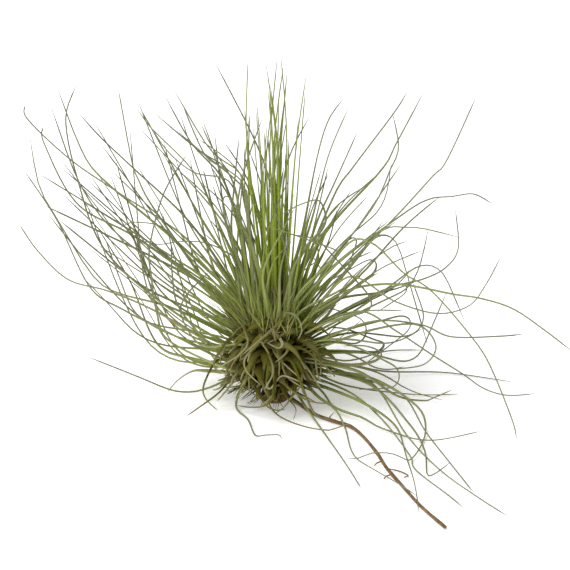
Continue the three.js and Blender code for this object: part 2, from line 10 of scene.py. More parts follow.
import bpy
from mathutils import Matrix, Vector


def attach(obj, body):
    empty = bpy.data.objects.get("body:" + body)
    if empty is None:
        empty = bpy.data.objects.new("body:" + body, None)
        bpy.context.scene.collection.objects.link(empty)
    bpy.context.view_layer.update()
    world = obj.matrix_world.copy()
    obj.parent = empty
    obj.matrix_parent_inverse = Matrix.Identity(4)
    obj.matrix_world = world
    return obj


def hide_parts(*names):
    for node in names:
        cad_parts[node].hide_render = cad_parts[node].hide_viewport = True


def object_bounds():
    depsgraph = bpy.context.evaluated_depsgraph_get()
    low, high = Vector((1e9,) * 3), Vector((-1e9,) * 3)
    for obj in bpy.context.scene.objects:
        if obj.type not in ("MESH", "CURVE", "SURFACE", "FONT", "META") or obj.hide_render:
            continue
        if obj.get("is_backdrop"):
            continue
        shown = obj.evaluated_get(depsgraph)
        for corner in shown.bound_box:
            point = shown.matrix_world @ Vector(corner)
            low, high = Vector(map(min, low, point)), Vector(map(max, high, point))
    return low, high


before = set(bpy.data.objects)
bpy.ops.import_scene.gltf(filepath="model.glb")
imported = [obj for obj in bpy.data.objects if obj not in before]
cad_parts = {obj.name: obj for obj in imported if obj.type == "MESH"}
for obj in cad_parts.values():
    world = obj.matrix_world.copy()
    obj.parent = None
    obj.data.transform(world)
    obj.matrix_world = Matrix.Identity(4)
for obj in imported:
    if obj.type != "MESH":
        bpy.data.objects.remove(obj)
CAD_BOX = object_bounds()

bl_info = {
    "name": "Air Plant Builder",
    "version": (1, 0, 0),
    "blender": (4, 5, 0),
    "location": "3D View > Sidebar > Air Plant",
    "description": "Builds a thread-leaved air plant with its bulb, heart, long root and stage",
    "category": "Add Mesh",
}

MM = 0.001
CM = 10.0                  # millimetres
JUST_UP = 0.05 * MM        # nothing lies lower than this

# ---------- the plant's own sizes, in millimetres and degrees ----------
# The bulb's body lies a little inside its skin, sideways and upward. Its cracks have a share of its
# colour. A grain says how fine a part's bark is, and a seed starts the draws of its unevenness.
BULB = Sizes(middle=13.0, radius=10.5, half=11.0, body=(1.9, 1.6), segments=36, rings=20,
             unevenness=0.25, seed=5, cracks=0.35, grain=500.0)
HEART = Sizes(radius=3.5, foot=18.0, flare=0.12, seat=16.0, tilt=6.5, straighten=6.0, spread=2.2,
              lengths=(46, 79), seed=1100)
STEM = Sizes(foot=3.8, neck=3.1, height=8.0, sides=28, levels=9, level_reach=0.2, groove=0.92,
             even_below=0.5, unevenness=0.22, seed=3, sharp=50, grain=900.0)
LEAF_LENGTHS = (60, 80)
GOLDEN_ANGLE = math.radians(137.508)
ROSETTE_LEAVES = 190
HEART_LEAVES = 34
SLOPE = Sizes(lowest=-30, highest=68, crowding=0.85, leaves=(-7, 9))
WANDER = Sizes(azimuth=(-0.15, 0.15), place=(0.3, 0.6), spread=0.7, lift=(-12, 12), swing=(-26, 26))
# The plant is thinner in these parts, each a range of azimuths and one of slopes: 270 is the front.
THINNER = ((95, 178, 12, 50), (0, 60, -30, 20), (300, 360, -30, 20), (0, 75, 36, 68),
           (285, 360, 36, 68))
# The leaves get narrower from the first slope to the second, or towards it.
FRONT_WIDTH = Sizes(lowest=0.5, slope=(-16, 6))
LOW_WIDTH = Sizes(lowest=0.66, slope=(-10, 30))
STEEP_WIDTH = Sizes(steepest=0.74, slope=(40, 66))
SUNK = 0.72                # how deep in the bulb a leaf starts
LEAF_CLEAR = 1.5           # the grey leaves' distance from the heart's cone
CLEAR_BELOW = 4.0          # the heart's cone is also kept clear this far below its foot
GROUND = Sizes(lie=0.45, landing=9.0, ride=2.6, ride_half=1.2, ride_reach=7.0)
GROWTH_STEPS = 32
CURVE_STEPS = 8

# How the leaves of each side bend. Lengths are millimetres or shares of the usual length, turns
# are degrees, and a bend's place and spread are shares of its leaf. A pair is a draw's range.
FRONT = Sizes(
    facing=0.45, not_right=0.6, not_steep=60, low=Sizes(facing=0.12, slope=8),
    mostly_short=0.8, short=(9, 20), long=(22, 40),
    over=Sizes(place=0.32, spread=0.5, fall=(40, 115), swing=(-50, 60)),
    curl=Sizes(place=0.75, spread=0.4, lift=(-90, 40), swing=(-70, 70)))
LEFT = Sizes(
    start=-0.15, lean=Sizes(place=0.26, spread=0.44, fall=(8, 28), start=10, full=50),
    sweep=Sizes(place=(0.3, 0.36), later=0.14, spread=(0.5, 0.66), swing=(-24, 24)),
    end_slope=(46, 74), vigour=(0.85, 1.1), lean_back=0.6, steep=(30, 70), low=30,
    reach=0.98, steep_loss=0.14, low_loss=0.25)
UPRIGHT = Sizes(until=0.15, reach=(0.7, 1), place=0.5, spread=0.8, lift=(-16, 16), swing=(-20, 20))
STEEP_RIGHT = Sizes(
    start=40, reach=(0.5, 0.8), lean=Sizes(place=0.3, spread=0.5, lift=(-24, 4)),
    end=Sizes(place=0.75, spread=0.5, lift=(-20, 26), swing=(-12, 12)))
HOOKED = Sizes(
    share=0.5, upward=0.35, reach=(0.6, 0.95), lean=Sizes(place=0.3, spread=0.4, lift=(-30, 10)),
    hook=Sizes(place=(0.5, 0.78), spread=(0.22, 0.45), turn=(70, 200), swing=(-60, 60)))
DROOPING = Sizes(
    reach=(0.45, 0.9), droop=Sizes(place=(0.3, 0.6), spread=0.8, lift=(-60, 5), swing=(-30, 30)),
    end=Sizes(place=0.8, spread=0.4, lift=(-60, 80), swing=(-60, 60)))
HEART_BENDS = (
    Sizes(place=0.3, spread=0.6, lift=(-1, 5), swing=(-4, 4)),
    Sizes(place=0.75, spread=0.5, lift=(-5, 8), swing=(-9, 9)))

# The young upright leaves round the heart. In front they part, and to both sides only some of each
# five grow.
YOUNG = Sizes(
    count=75, seed=3000, foot=(18, 20.5), away=(5.2, 6.2), slope=(66, 88), short=(22, 44),
    long=(44, 66), parting=Sizes(azimuth=-84, half=24, share=0.6), lean_right=0.1,
    right_share=(0.7, 1.15), sparse=Sizes(right=(1, 3, 4), left=(2, 4), lean=0.5),
    bends=(Sizes(place=0.3, spread=0.6, lift=(-12, 6), swing=(-16, 16)),
           Sizes(place=0.75, spread=0.5, lift=(-36, 16), swing=(-36, 36))))
# The old short leaves round the bulb's foot, and the broad leaf bases on its sides and back, where
# no curled leaves cover it.
TEETH = Sizes(
    count=120, seed=5000, wander=WANDER.azimuth, slope=(-62, -6), tilted=8, lengths=(6, 11),
    place=0.5, spread=0.8, lift=(-40, 10), swing=(-30, 30))
SCALES = Sizes(
    count=110, seed=6200, wander=None, slope=(-50, 58), tilted=6, lengths=(6.5, 10),
    place=0.5, spread=0.8, lift=(-25, 35), swing=(-25, 25), not_front=0.62)
# The short new leaves at the heart's foot, and the fine dry fibres among the leaves of the crown.
SPROUTS = Sizes(
    count=46, seed=6400, facing=None, away=(2.4, 6.2), foot=(18, 20), slope=(58, 86),
    lengths=(7, 17), place=0.5, spread=0.8, lift=(-25, 15), swing=(-25, 25), settles=False)
FIBRES = Sizes(
    count=130, seed=6000, facing=(165, 310), away=(6.5, 9.5), foot=(18, 22), slope=(42, 82),
    lengths=(9, 25), place=0.5, spread=0.8, lift=(-35, 20), swing=(-35, 35), settles=True)

# The long root's way over the ground, from inside the stem to its tip, and its fine side roots.
ROOT_WAY = [
    (2, -2, 3), (7, -7, 1.2), (11, -12, 0.8), (16, -16, 0.8), (20, -19, 0.8), (23, -25, 0.8),
    (26, -34, 0.8), (28, -42, 0.8), (32, -53, 0.8), (35, -61, 0.8), (40, -71, 0.8)]
ROOTLETS = [
    [(27, -38, 0.8), (25.6, -38.8, 0.6), (25, -39.8, 0.5)],
    [(28, -42, 0.8), (31, -43, 0.6), (33, -45, 0.5), (32, -46, 0.5)],
    [(29, -45, 0.8), (27.6, -45.7, 0.6), (27, -46.7, 0.5)]]
ROOT = Sizes(
    girth=(1.1, 0.9), uneven=(0.88, 1.12), seed=41, corners=8, sheath_length=6.0, grain=1100.0)
ROOTLET = Sizes(share=0.36, corners=6, sheath_length=2.0)

# The leaves that leave the even spread: each goes its own way through these points.
SWEPT_LEFT = [
    [(-12, -2, 14), (-31, -4, 27), (-43, -7, 34), (-53, -9, 38), (-60, -12, 47), (-64, -14, 55)],
    [(-11, -6, 13), (-29, -9, 24), (-39, -12, 31), (-47, -14, 38), (-54, -17, 57), (-61, -20, 71)],
    [(-13, 2, 18), (-28, 4, 25), (-40, 5, 28), (-48, 7, 32), (-57, 9, 47), (-62, 10, 57),
     (-64, 12, 70)],
    [(-11, 4, 27), (-23, 7, 43), (-41, 10, 55), (-54, 14, 63), (-65, 17, 73), (-66, 20, 76)],
    [(-12, -3, 17), (-29, -4, 29), (-44, -5, 45), (-50, -5, 64), (-52, -7, 80), (-49, -8, 89)],
    [(-10, 5, 27), (-28, 10, 43), (-46, 16, 57), (-52, 21, 64), (-58, 26, 79)],
    [(-10, 3, 30), (-22, 1, 50), (-36, 0, 65), (-44, -2, 74), (-49, -4, 81)],
    [(-12, 5, 22), (-31, 8, 50), (-36, 12, 58), (-38, 15, 63), (-41, 18, 81)],
    [(-8, 4, 31), (-15, 7, 48), (-21, 9, 61), (-32, 12, 72), (-36, 14, 77)],
    [(-5, -4, 36), (-6, -6, 57), (-9, -8, 64), (-21, -10, 75), (-29, -12, 83)],
    [(-7, 5, 35), (-13, 11, 57), (-22, 18, 66), (-29, 24, 77)],
    [(-4, -3, 38), (-7, -6, 63), (-16, -9, 73), (-24, -16, 90)],
    [(-11, -4, 23), (-29, -9, 41), (-41, -14, 54), (-48, -19, 68), (-53, -24, 88)],
    [(-10, 6, 23), (-36, 12, 41), (-53, 18, 49), (-62, 24, 64), (-63, 30, 67)],
    [(-10, -9, 12), (-27, -12, 22), (-30, -15, 31), (-31, -17, 42), (-31, -20, 51), (-27, -23, 66),
     (-21, -26, 77)],
    [(-10, -9, 20), (-19, -10, 20), (-24, -10, 28), (-23, -11, 34), (-17, -12, 41)],
    [(-3, -5, 39), (-9, -7, 54), (-9, -9, 61), (-7, -11, 70), (-3, -13, 82)],
    [(-10, 0, 9), (-23, 2, 11), (-30, 5, 12), (-34, 7, 17), (-39, 10, 30), (-47, 12, 44)],
    [(-10, -3, 9), (-18, -2, 9), (-22, 0, 8), (-26, 1, 5), (-29, 2, 1)],
    [(-7, 3, 34), (-9, 0, 54), (-12, 3, 63), (-18, 8, 66), (-24, 18, 76)],
    [(-7, -3, 32), (-9, -5, 56), (-12, -7, 67), (-18, -11, 73), (-24, -15, 80)],
    [(-8, 4, 30), (-9, 5, 50), (-12, 5, 60), (-21, 9, 61), (-28, 14, 65), (-33, 18, 71)],
    [(-5, 6, 34), (-7, 4, 57), (-13, 8, 63), (-17, 10, 69), (-19, 12, 73)]]
SWEPT_RIGHT = [
    [(6, 3, 26), (17, 6, 37), (34, 8, 50), (41, 11, 53), (47, 13, 53), (53, 15, 53), (58, 16, 50)],
    [(6, 2, 26), (16, 4, 34), (31, 6, 49), (41, 8, 60), (45, 10, 64), (52, 12, 80)],
    [(6, -5, 29), (18, -6, 43), (28, -7, 51), (33, -8, 52), (38, -9, 52), (47, -10, 50)],
    [(8, -3, 21), (28, -2, 32), (39, -1, 35), (45, 0, 38), (48, 1, 43), (47, 2, 53)],
    [(8, -5, 24), (19, -7, 38), (31, -9, 32), (42, -10, 29), (50, -12, 32), (54, -14, 39),
     (57, -16, 47)],
    [(7, -3, 24), (18, -5, 33), (31, -7, 36), (46, -9, 34), (53, -12, 34), (61, -14, 32),
     (69, -16, 27), (76, -18, 22)],
    [(9, -5, 18), (25, -6, 25), (38, -8, 25), (46, -9, 22), (58, -11, 23), (64, -12, 24)],
    [(8, -5, 22), (22, -6, 28), (32, -8, 23), (41, -9, 17), (49, -10, 12), (55, -11, 8),
     (61, -13, 7), (68, -14, 8)],
    [(7, -3, 26), (18, -6, 46), (25, -9, 48), (33, -12, 41), (40, -14, 37), (50, -17, 26),
     (55, -20, 19), (61, -23, 5), (62, -26, 1)],
    [(10, -6, 17), (25, -7, 23), (37, -8, 25), (42, -10, 20), (39, -11, 15), (30, -12, 14)],
    [(10, -7, 14), (22, -9, 12), (32, -11, 6), (39, -12, 5), (42, -14, 7), (46, -16, 10)],
    [(10, -4, 15), (20, -3, 15), (27, -1, 14), (29, 0, 16), (26, 1, 17), (19, 3, 19), (14, 4, 19)],
    [(10, -7, 15), (19, -7, 13), (26, -7, 14), (28, -6, 16), (24, -6, 18), (18, -6, 18)],
    [(3, 5, 29), (7, 8, 43), (11, 11, 64), (14, 13, 74), (18, 16, 79)],
    [(4, 4, 29), (10, 6, 50), (14, 8, 66), (19, 10, 78)],
    [(5, 5, 28), (11, 11, 46), (16, 16, 56), (22, 22, 68)],
    [(5, 2, 29), (15, 0, 57), (20, -2, 66), (30, -4, 81), (33, -6, 87)],
    [(6, 4, 27), (13, 8, 44), (28, 11, 61), (32, 15, 67), (39, 18, 80)],
    [(6, -4, 30), (24, -6, 55), (29, -8, 67), (31, -10, 74), (29, -14, 84)],
    [(3, -5, 34), (8, -7, 46), (12, -10, 52), (13, -11, 56), (11, -13, 61), (6, -14, 60),
     (2, -15, 58)],
    [(6, -6, 32), (12, -8, 40), (15, -10, 44), (16, -12, 47), (8, -14, 51), (-1, -16, 55)],
    [(7, -6, 28), (18, -7, 35), (24, -8, 42), (30, -9, 47), (34, -10, 49)]]
CURLED_FRONT = [
    [(-2, -6, 20), (-1, -9, 25), (3, -10, 29), (6, -11, 28), (7, -12, 25), (6, -13, 23)],
    [(-1, -6, 25), (0, -10, 24), (2, -13, 22), (1, -14, 21), (-2, -15, 23)],
    [(-1, -8, 22), (0, -12, 19), (2, -14, 17), (7, -16, 13)],
    [(-1, -8, 19), (-2, -13, 11), (-1, -15, 10), (2, -16, 14), (7, -18, 13)],
    [(3, -7, 18), (8, -12, 15), (12, -15, 10)],
    [(5, -5, 22), (10, -9, 18), (11, -11, 13), (12, -13, 11)],
    [(-4, -6, 22), (-6, -11, 20), (-7, -14, 17)],
    [(-7, -7, 14), (-11, -11, 11), (-11, -14, 9)]]
TRAILING = [
    [(-5, -4, 15), (-8, -9, 9), (-10, -6, 3), (-10, -9, 1), (-7, -15, 1), (-5, -24, 1),
     (-2, -24, 1), (1, -24, 1), (2, -26, 1)],
    [(7, 4, 6), (10, -4, 4), (16, -10, 2), (30, -22, 1), (40, -27, 1), (53, -22, 1)],
    [(9, 6, 8), (19, -1, 8), (27, -6, 6), (34, -24, 1), (41, -43, 1), (49, -57, 1), (55, -66, 1)],
    [(8, 4, 7), (20, -1, 7), (33, -9, 6), (39, -22, 1), (44, -40, 1), (48, -54, 1)],
    [(8, 5, 5), (20, -7, 5), (28, -17, 2), (34, -35, 1), (35, -43, 1), (42, -56, 1), (45, -62, 1)],
    [(7, 2, 5), (22, -12, 5), (31, -20, 2), (33, -34, 1), (34, -56, 1), (34, -67, 1)],
    [(5, 0, 4), (8, -11, 3), (17, -37, 1), (21, -52, 1)],
    [(7, 5, 4), (13, -3, 3), (18, -22, 1), (21, -38, 1), (34, -60, 1)],
    [(8, 3, 7), (25, -4, 8), (37, -15, 5), (39, -22, 1), (35, -36, 1), (31, -38, 1), (18, -37, 1)],
    [(8, 5, 7), (25, -6, 7), (35, -20, 2), (38, -33, 1), (38, -46, 1), (44, -39, 1)]]
# Thick old leaves that lie round the front of the bulb before they hang down.
WRAPPED = [
    [(-1, -6, 25), (-3, -10, 26), (-5, -11, 26), (-7, -12, 25), (-9, -13, 24), (-11, -14, 22)],
    [(1, -7, 22), (-2, -10, 23), (-4, -12, 23), (-5, -12, 22), (-6, -14, 20), (-7, -14, 17)],
    [(-3, -6, 21), (-5, -10, 22), (-8, -11, 23), (-9, -12, 22), (-12, -13, 19)],
    [(7, -7, 23), (5, -10, 24), (2, -11, 24), (1, -12, 23), (-2, -13, 22)],
    [(-2, -7, 19), (0, -10, 20), (2, -12, 21), (4, -13, 21), (6, -14, 19), (8, -14, 15)],
    [(6, -7, 20), (7, -10, 22), (9, -11, 21), (11, -12, 19), (12, -12, 16), (12, -13, 13)],
    [(-7, -6, 17), (-9, -8, 18), (-11, -10, 17), (-12, -11, 15), (-13, -12, 12)],
    [(-3, -8, 17), (-5, -10, 18), (-6, -11, 16), (-7, -12, 13), (-8, -13, 10)],
    [(2, -8, 16), (4, -10, 17), (6, -12, 16), (7, -13, 14), (8, -14, 12)],
    [(-1, -8, 17), (-1, -11, 17), (-1, -12, 15), (-2, -13, 12), (-2, -13, 9)],
    [(11, -5, 17), (13, -7, 17), (15, -8, 16), (17, -9, 14)],
    [(6, -6, 24), (8, -8, 25), (11, -9, 25), (13, -10, 24), (15, -10, 22)]]
# Thin dry leaves that hook over among the others on the left.
THIN_HOOKS = [
    [(-12, -7, 14), (-24, -11, 30), (-26, -13, 41), (-26, -15, 50), (-28, -16, 55), (-35, -18, 57),
     (-39, -18, 55)],
    [(-8, -6, 26), (-10, -8, 42), (-13, -9, 46), (-18, -11, 49), (-24, -13, 50), (-29, -15, 50),
     (-34, -17, 52)],
    [(-6, -6, 28), (-9, -8, 42), (-12, -9, 53), (-13, -9, 59), (-12, -10, 61), (-10, -10, 59),
     (-9, -11, 55)]]


# ---------- the rule that the leaves grow by ----------
def draws_for(seed):
    """A leaf's own seeded run of draws, so that one leaf can change and the rest stay."""
    modulus, multiplier = 2147483647, 48271
    seed_step, seed_start = 7919, 12345
    state = seed * seed_step + seed_start

    def draw(low, high):
        nonlocal state
        state = state * multiplier % modulus
        return low + (high - low) * state / modulus

    draw(0, 1)
    draw(0, 1)
    return draw


def clamp(value, low=0.0, high=1.0):
    return max(low, min(high, value))


def mix(a, b, share):
    return a + (b - a) * share


def swell(along, place, spread):
    """A smooth hump of area 1 round one place of the leaf."""
    x = (along - place) / spread
    return (1 + math.cos(2 * math.pi * x)) / spread if abs(x) < 0.5 else 0.0


def spline(a, b, c, d, t):
    """The point at t from b to c, on the smooth curve that also passes a and d."""
    return 0.5 * (2 * b + (c - a) * t + (2 * a - 5 * b + 4 * c - d) * t * t
                  + (3 * b - a - 3 * c + d) * t ** 3)


def smooth_through(points):
    curve = []
    last = len(points) - 1
    for j in range(last):
        before, after = points[max(0, j - 1)], points[min(last, j + 2)]
        for k in range(CURVE_STEPS):
            curve.append(spline(before, points[j], points[j + 1], after, k / CURVE_STEPS))
    return curve + [points[last].copy()]


def root_distance(x, y):
    here = Vector((x, y))
    nearest = math.inf
    for start, end in zip(ROOT_WAY, ROOT_WAY[1:]):
        a = Vector(start[:2])
        stretch = Vector(end[:2]) - a
        share = clamp((here - a).dot(stretch) / stretch.length_squared)
        nearest = min(nearest, (here - a - stretch * share).length)
    return nearest


def lie(x, y):
    """How high a leaf's middle line lies on the ground: where the root runs, it rides over it."""
    near = clamp(1 - (root_distance(x, y) - GROUND.ride_half) / GROUND.ride_reach)
    return GROUND.lie + GROUND.ride * near * near * (3 - 2 * near)


def keep_clear(point):
    """Moves a point out of the heart's cone and up to the ground."""
    room = HEART.radius + HEART.flare * max(0.0, point.z - HEART.foot) + LEAF_CLEAR
    away = math.hypot(point.x, point.y)
    if point.z > HEART.foot - CLEAR_BELOW and away < room:
        point.x *= room / away
        point.y *= room / away
    point.z = max(point.z, lie(point.x, point.y))
    return point


def beside_axis(azimuth, away, height):
    return Vector((away * math.cos(azimuth), away * math.sin(azimuth), height))


def emerge(azimuth, slope):
    """Where a leaf that leaves the bulb at this slope starts, inside the bulb's skin."""
    angle = math.radians(slope)
    away = max(HEART.radius + LEAF_CLEAR, BULB.radius * SUNK * math.cos(angle))
    height = BULB.middle + BULB.half * SUNK * math.sin(angle)
    return beside_axis(azimuth, away, height)


def grow(start, azimuth, slope, length, bends, settle=keep_clear):
    """Grows a leaf step by step. A bend is (place, spread, degrees up, degrees to the side)."""
    angle = math.radians(slope)
    flat = math.cos(angle)
    along = Vector((flat * math.cos(azimuth), flat * math.sin(azimuth), math.sin(angle)))
    side = Vector((-math.sin(azimuth), math.cos(azimuth), 0))
    point = start.copy()
    path = [point.copy()]
    for k in range(GROWTH_STEPS):
        at = (k + 0.5) / GROWTH_STEPS
        up = along.cross(side)
        lift = sum(math.radians(b[2]) * swell(at, b[0], b[1]) for b in bends) / GROWTH_STEPS
        turn = sum(math.radians(b[3]) * swell(at, b[0], b[1]) for b in bends) / GROWTH_STEPS
        along = (along + up * lift + side * turn).normalized()
        steepest = -(point.z - lie(point.x, point.y)) / GROUND.landing
        if along.z < steepest:
            level = math.sqrt(1 - steepest ** 2) / math.hypot(along.x, along.y)
            along = Vector((along.x * level, along.y * level, steepest))
        side = (side - along * side.dot(along)).normalized()
        point = point + along * (length / GROWTH_STEPS)
        if settle:
            settle(point)
        path.append(point.copy())
    return path


def bend_of(draw, bend):
    return bend.place, bend.spread, draw(*bend.lift), draw(*bend.swing)


def front_habit(draw, slope, length):
    length = draw(*FRONT.short) if draw(0, 1) < FRONT.mostly_short else draw(*FRONT.long)
    over = (FRONT.over.place, FRONT.over.spread, -draw(*FRONT.over.fall), draw(*FRONT.over.swing))
    return length, [over, bend_of(draw, FRONT.curl)]


def left_habit(draw, slope, length):
    steep_from, steepest = LEFT.steep
    steep = clamp((slope - steep_from) / (steepest - steep_from))
    begun = clamp((slope - LEFT.lean.start) / (LEFT.lean.full - LEFT.lean.start))
    lean = draw(*LEFT.lean.fall) * begun
    rise = max(0.0, draw(*LEFT.end_slope) - slope) * draw(*LEFT.vigour)
    sweep_at = draw(*LEFT.sweep.place) + LEFT.sweep.later * clamp(slope / steep_from)
    sweep_over = draw(*LEFT.sweep.spread)
    sweep = (sweep_at, sweep_over, rise + LEFT.lean_back * lean, draw(*LEFT.sweep.swing))
    reach = LEFT.reach - LEFT.steep_loss * steep - LEFT.low_loss * clamp(-slope / LEFT.low)
    return length * reach, [(LEFT.lean.place, LEFT.lean.spread, -lean, 0.0), sweep]


def steep_right_habit(draw, slope, length):
    reach = length * draw(*STEEP_RIGHT.reach)
    lean = STEEP_RIGHT.lean
    return reach, [(lean.place, lean.spread, draw(*lean.lift), 0.0), bend_of(draw, STEEP_RIGHT.end)]


def hooked_habit(draw, slope, length):
    sense = 1 if draw(0, 1) < HOOKED.upward else -1
    reach = length * draw(*HOOKED.reach)
    lean, hook = HOOKED.lean, HOOKED.hook
    leaning = (lean.place, lean.spread, draw(*lean.lift), 0.0)
    place, spread = draw(*hook.place), draw(*hook.spread)
    return reach, [leaning, (place, spread, sense * draw(*hook.turn), draw(*hook.swing))]


def drooping_habit(draw, slope, length):
    reach = length * draw(*DROOPING.reach)
    droop = DROOPING.droop
    bend = (draw(*droop.place), droop.spread, draw(*droop.lift), draw(*droop.swing))
    return reach, [bend, bend_of(draw, DROOPING.end)]


def upright_habit(draw, slope, length):
    reach = length * draw(*UPRIGHT.reach)
    return reach, [bend_of(draw, UPRIGHT)]


def habit_of(draw, azimuth, slope):
    to_right, to_front = math.cos(azimuth), -math.sin(azimuth)
    in_front = to_front > FRONT.facing and to_right < FRONT.not_right and slope < FRONT.not_steep
    if in_front or (to_front > FRONT.low.facing and slope < FRONT.low.slope):
        return front_habit
    if to_right < LEFT.start:
        return left_habit
    if to_right < UPRIGHT.until:
        return upright_habit
    if slope > STEEP_RIGHT.start:
        return steep_right_habit
    return hooked_habit if draw(0, 1) < HOOKED.share else drooping_habit


def spread_place(index, draw):
    """Which way a leaf of the even spread looks from the axis, and how steeply it leaves."""
    azimuth = index * GOLDEN_ANGLE + draw(*WANDER.azimuth)
    height = ((index + 0.5) / ROSETTE_LEAVES) ** SLOPE.crowding
    return azimuth, mix(SLOPE.lowest, SLOPE.highest, height)


def is_left_out(index):
    """Where the plant is thinner, only every other leaf of the even spread grows."""
    azimuth, slope = spread_place(index, draws_for(index + 1))
    turn = math.degrees(azimuth) % 360
    thin = any(a <= turn <= b and low <= slope <= high for a, b, low, high in THINNER)
    return index % 2 == 1 and thin


def rosette_leaf(index):
    """One leaf of the even spread: its way, and whether it is one of the front's short curls."""
    draw = draws_for(index + 1)
    azimuth, slope = spread_place(index, draw)
    leaving = slope + draw(*SLOPE.leaves)
    drift = (draw(*WANDER.place), WANDER.spread, draw(*WANDER.lift), draw(*WANDER.swing))
    usual = draw(*LEAF_LENGTHS)
    habit = habit_of(draw, azimuth, slope)
    length, bends = habit(draw, slope, usual)
    path = grow(emerge(azimuth, slope), azimuth, leaving, length, [drift, *bends])
    return path, habit is front_habit


def width_share(index, narrow):
    """The lowest and the steepest leaves are narrower than those between them."""
    _, slope = spread_place(index, draws_for(index + 1))
    low, high = narrow.slope
    steep, steepest = STEEP_WIDTH.slope
    share = mix(narrow.lowest, 1.0, clamp((slope - low) / (high - low)))
    return share * mix(1.0, STEEP_WIDTH.steepest, clamp((slope - steep) / (steepest - steep)))


def stray_leaf(points):
    """The smooth way of a leaf through its points, from its start in the bulb."""
    first = Vector(points[0])
    azimuth = math.atan2(first.y, first.x)
    rise = (first.z - BULB.middle) / BULB.half
    slope = math.degrees(math.atan2(rise, math.hypot(first.x, first.y) / BULB.radius))
    rooted = [emerge(azimuth, min(SLOPE.highest, slope)), *map(Vector, points)]
    return [keep_clear(point) for point in smooth_through(rooted)]


def heart_leaf(index):
    draw = draws_for(HEART.seed + index)
    inner = (index + 0.5) / HEART_LEAVES
    azimuth = index * GOLDEN_ANGLE
    out = HEART.spread * (1 - inner)
    slope = 90 - (HEART.tilt - HEART.straighten * inner) - draw(0, 1)
    bends = [bend_of(draw, bend) for bend in HEART_BENDS]
    start = beside_axis(azimuth, out, HEART.seat + 1)
    return grow(start, azimuth, slope, draw(*HEART.lengths), bends, None)


def is_right(azimuth):
    return math.cos(azimuth) > YOUNG.lean_right


def young_leaves():
    """The young leaves that grow, by number."""
    sparse = YOUNG.sparse
    grown = []
    for k in range(YOUNG.count):
        is_left = math.cos(k * GOLDEN_ANGLE) < -sparse.lean
        wanting = sparse.right if is_right(k * GOLDEN_ANGLE) else sparse.left if is_left else ()
        if k % 5 not in wanting:
            grown.append(k)
    return grown


def young_leaf(index):
    """A young leaf's way. In front, where the young leaves part, it stays short."""
    draw = draws_for(YOUNG.seed + index)
    azimuth = index * GOLDEN_ANGLE
    start = beside_axis(azimuth, draw(*YOUNG.away), draw(*YOUNG.foot))
    height = (index + 0.5) / YOUNG.count
    bends = [bend_of(draw, bend) for bend in YOUNG.bends]
    shorter, longer = draw(*YOUNG.short), draw(*YOUNG.long)
    parting = YOUNG.parting
    apart = math.cos(azimuth - math.radians(parting.azimuth)) > math.cos(math.radians(parting.half))
    length = shorter * parting.share if apart else mix(shorter, longer, height)
    length *= draw(*YOUNG.right_share) if is_right(azimuth) else 1.0
    return grow(start, azimuth, mix(*YOUNG.slope, height), length, bends)


def leaf_bases():
    """The leaf bases that grow, by number."""
    return [k for k in range(SCALES.count) if -math.sin(k * GOLDEN_ANGLE) < SCALES.not_front]


def bulb_leaf(sizes, index):
    """A short leaf on the bulb's skin, where each starts a little higher than the one before it."""
    draw = draws_for(sizes.seed + index)
    azimuth = index * GOLDEN_ANGLE + (draw(*sizes.wander) if sizes.wander else 0.0)
    slope = mix(*sizes.slope, (index + 0.5) / sizes.count)
    bends = [bend_of(draw, sizes)]
    return grow(emerge(azimuth, slope), azimuth, slope + sizes.tilted, draw(*sizes.lengths), bends)


def crown_leaf(sizes, index):
    """A short leaf that starts beside the heart."""
    draw = draws_for(sizes.seed + index)
    azimuth = math.radians(draw(*sizes.facing)) if sizes.facing else index * GOLDEN_ANGLE
    start = beside_axis(azimuth, draw(*sizes.away), draw(*sizes.foot))
    bends = [bend_of(draw, sizes)]
    settle = keep_clear if sizes.settles else None
    return grow(start, azimuth, draw(*sizes.slope), draw(*sizes.lengths), bends, settle)


# ---------- a straight leaf, modelled once, and its copies laid along their ways ----------
RINGS = Sizes(short=7, plain=20, curly=36)
SHEATH_RINGS = 6           # of a leaf's rings, this many shape its sheath
SHEATH_SHARE = 0.5         # of a short leaf, the sheath is no more than this
TIP_THICKNESS = 0.8        # of the tip's width
POINT_SHARE = 0.3          # the last ring's share of the tip
CHANNEL_EDGE = 0.75        # a ring's corners higher than this share of its half thickness sink
CURLY_TURN = math.radians(130)
TURN_PULL = 14.0           # a radian of bend draws as many rings as this many millimetres
LOOK_AHEAD = 0.4           # a leaf's direction is measured this far before and after a place
TWIST = Sizes(range=(-1.6, 1.6), starts=0.15)
NO_WIDTH = 1e-6            # a point this near a ring's middle line lies on it
LOOKS_SEED = 7000


def leaf_kind(corners, sheath_length, fullness, taper=2.0, neck=1.0, channel=(1.3, 0.6),
              starts_as="sheath", sheath_share=SHEATH_SHARE, rings=None, girth=1.0):
    """What sets a kind of leaf apart, besides its section's corners and its sheath's length.

    With a fullness above 1 the sheath stays broad and ends bluntly, below 1 it narrows at once. The
    taper says how much faster the thread thins near its sheath than near its tip, and the neck is a
    share of the usual neck. The channel is how deep the upper face is sunk at the root and at the
    neck, in half thicknesses. Without rings, a leaf gets as many as its turns need. The girth is a
    share of all its widths and thicknesses.
    """
    return Sizes(**locals())


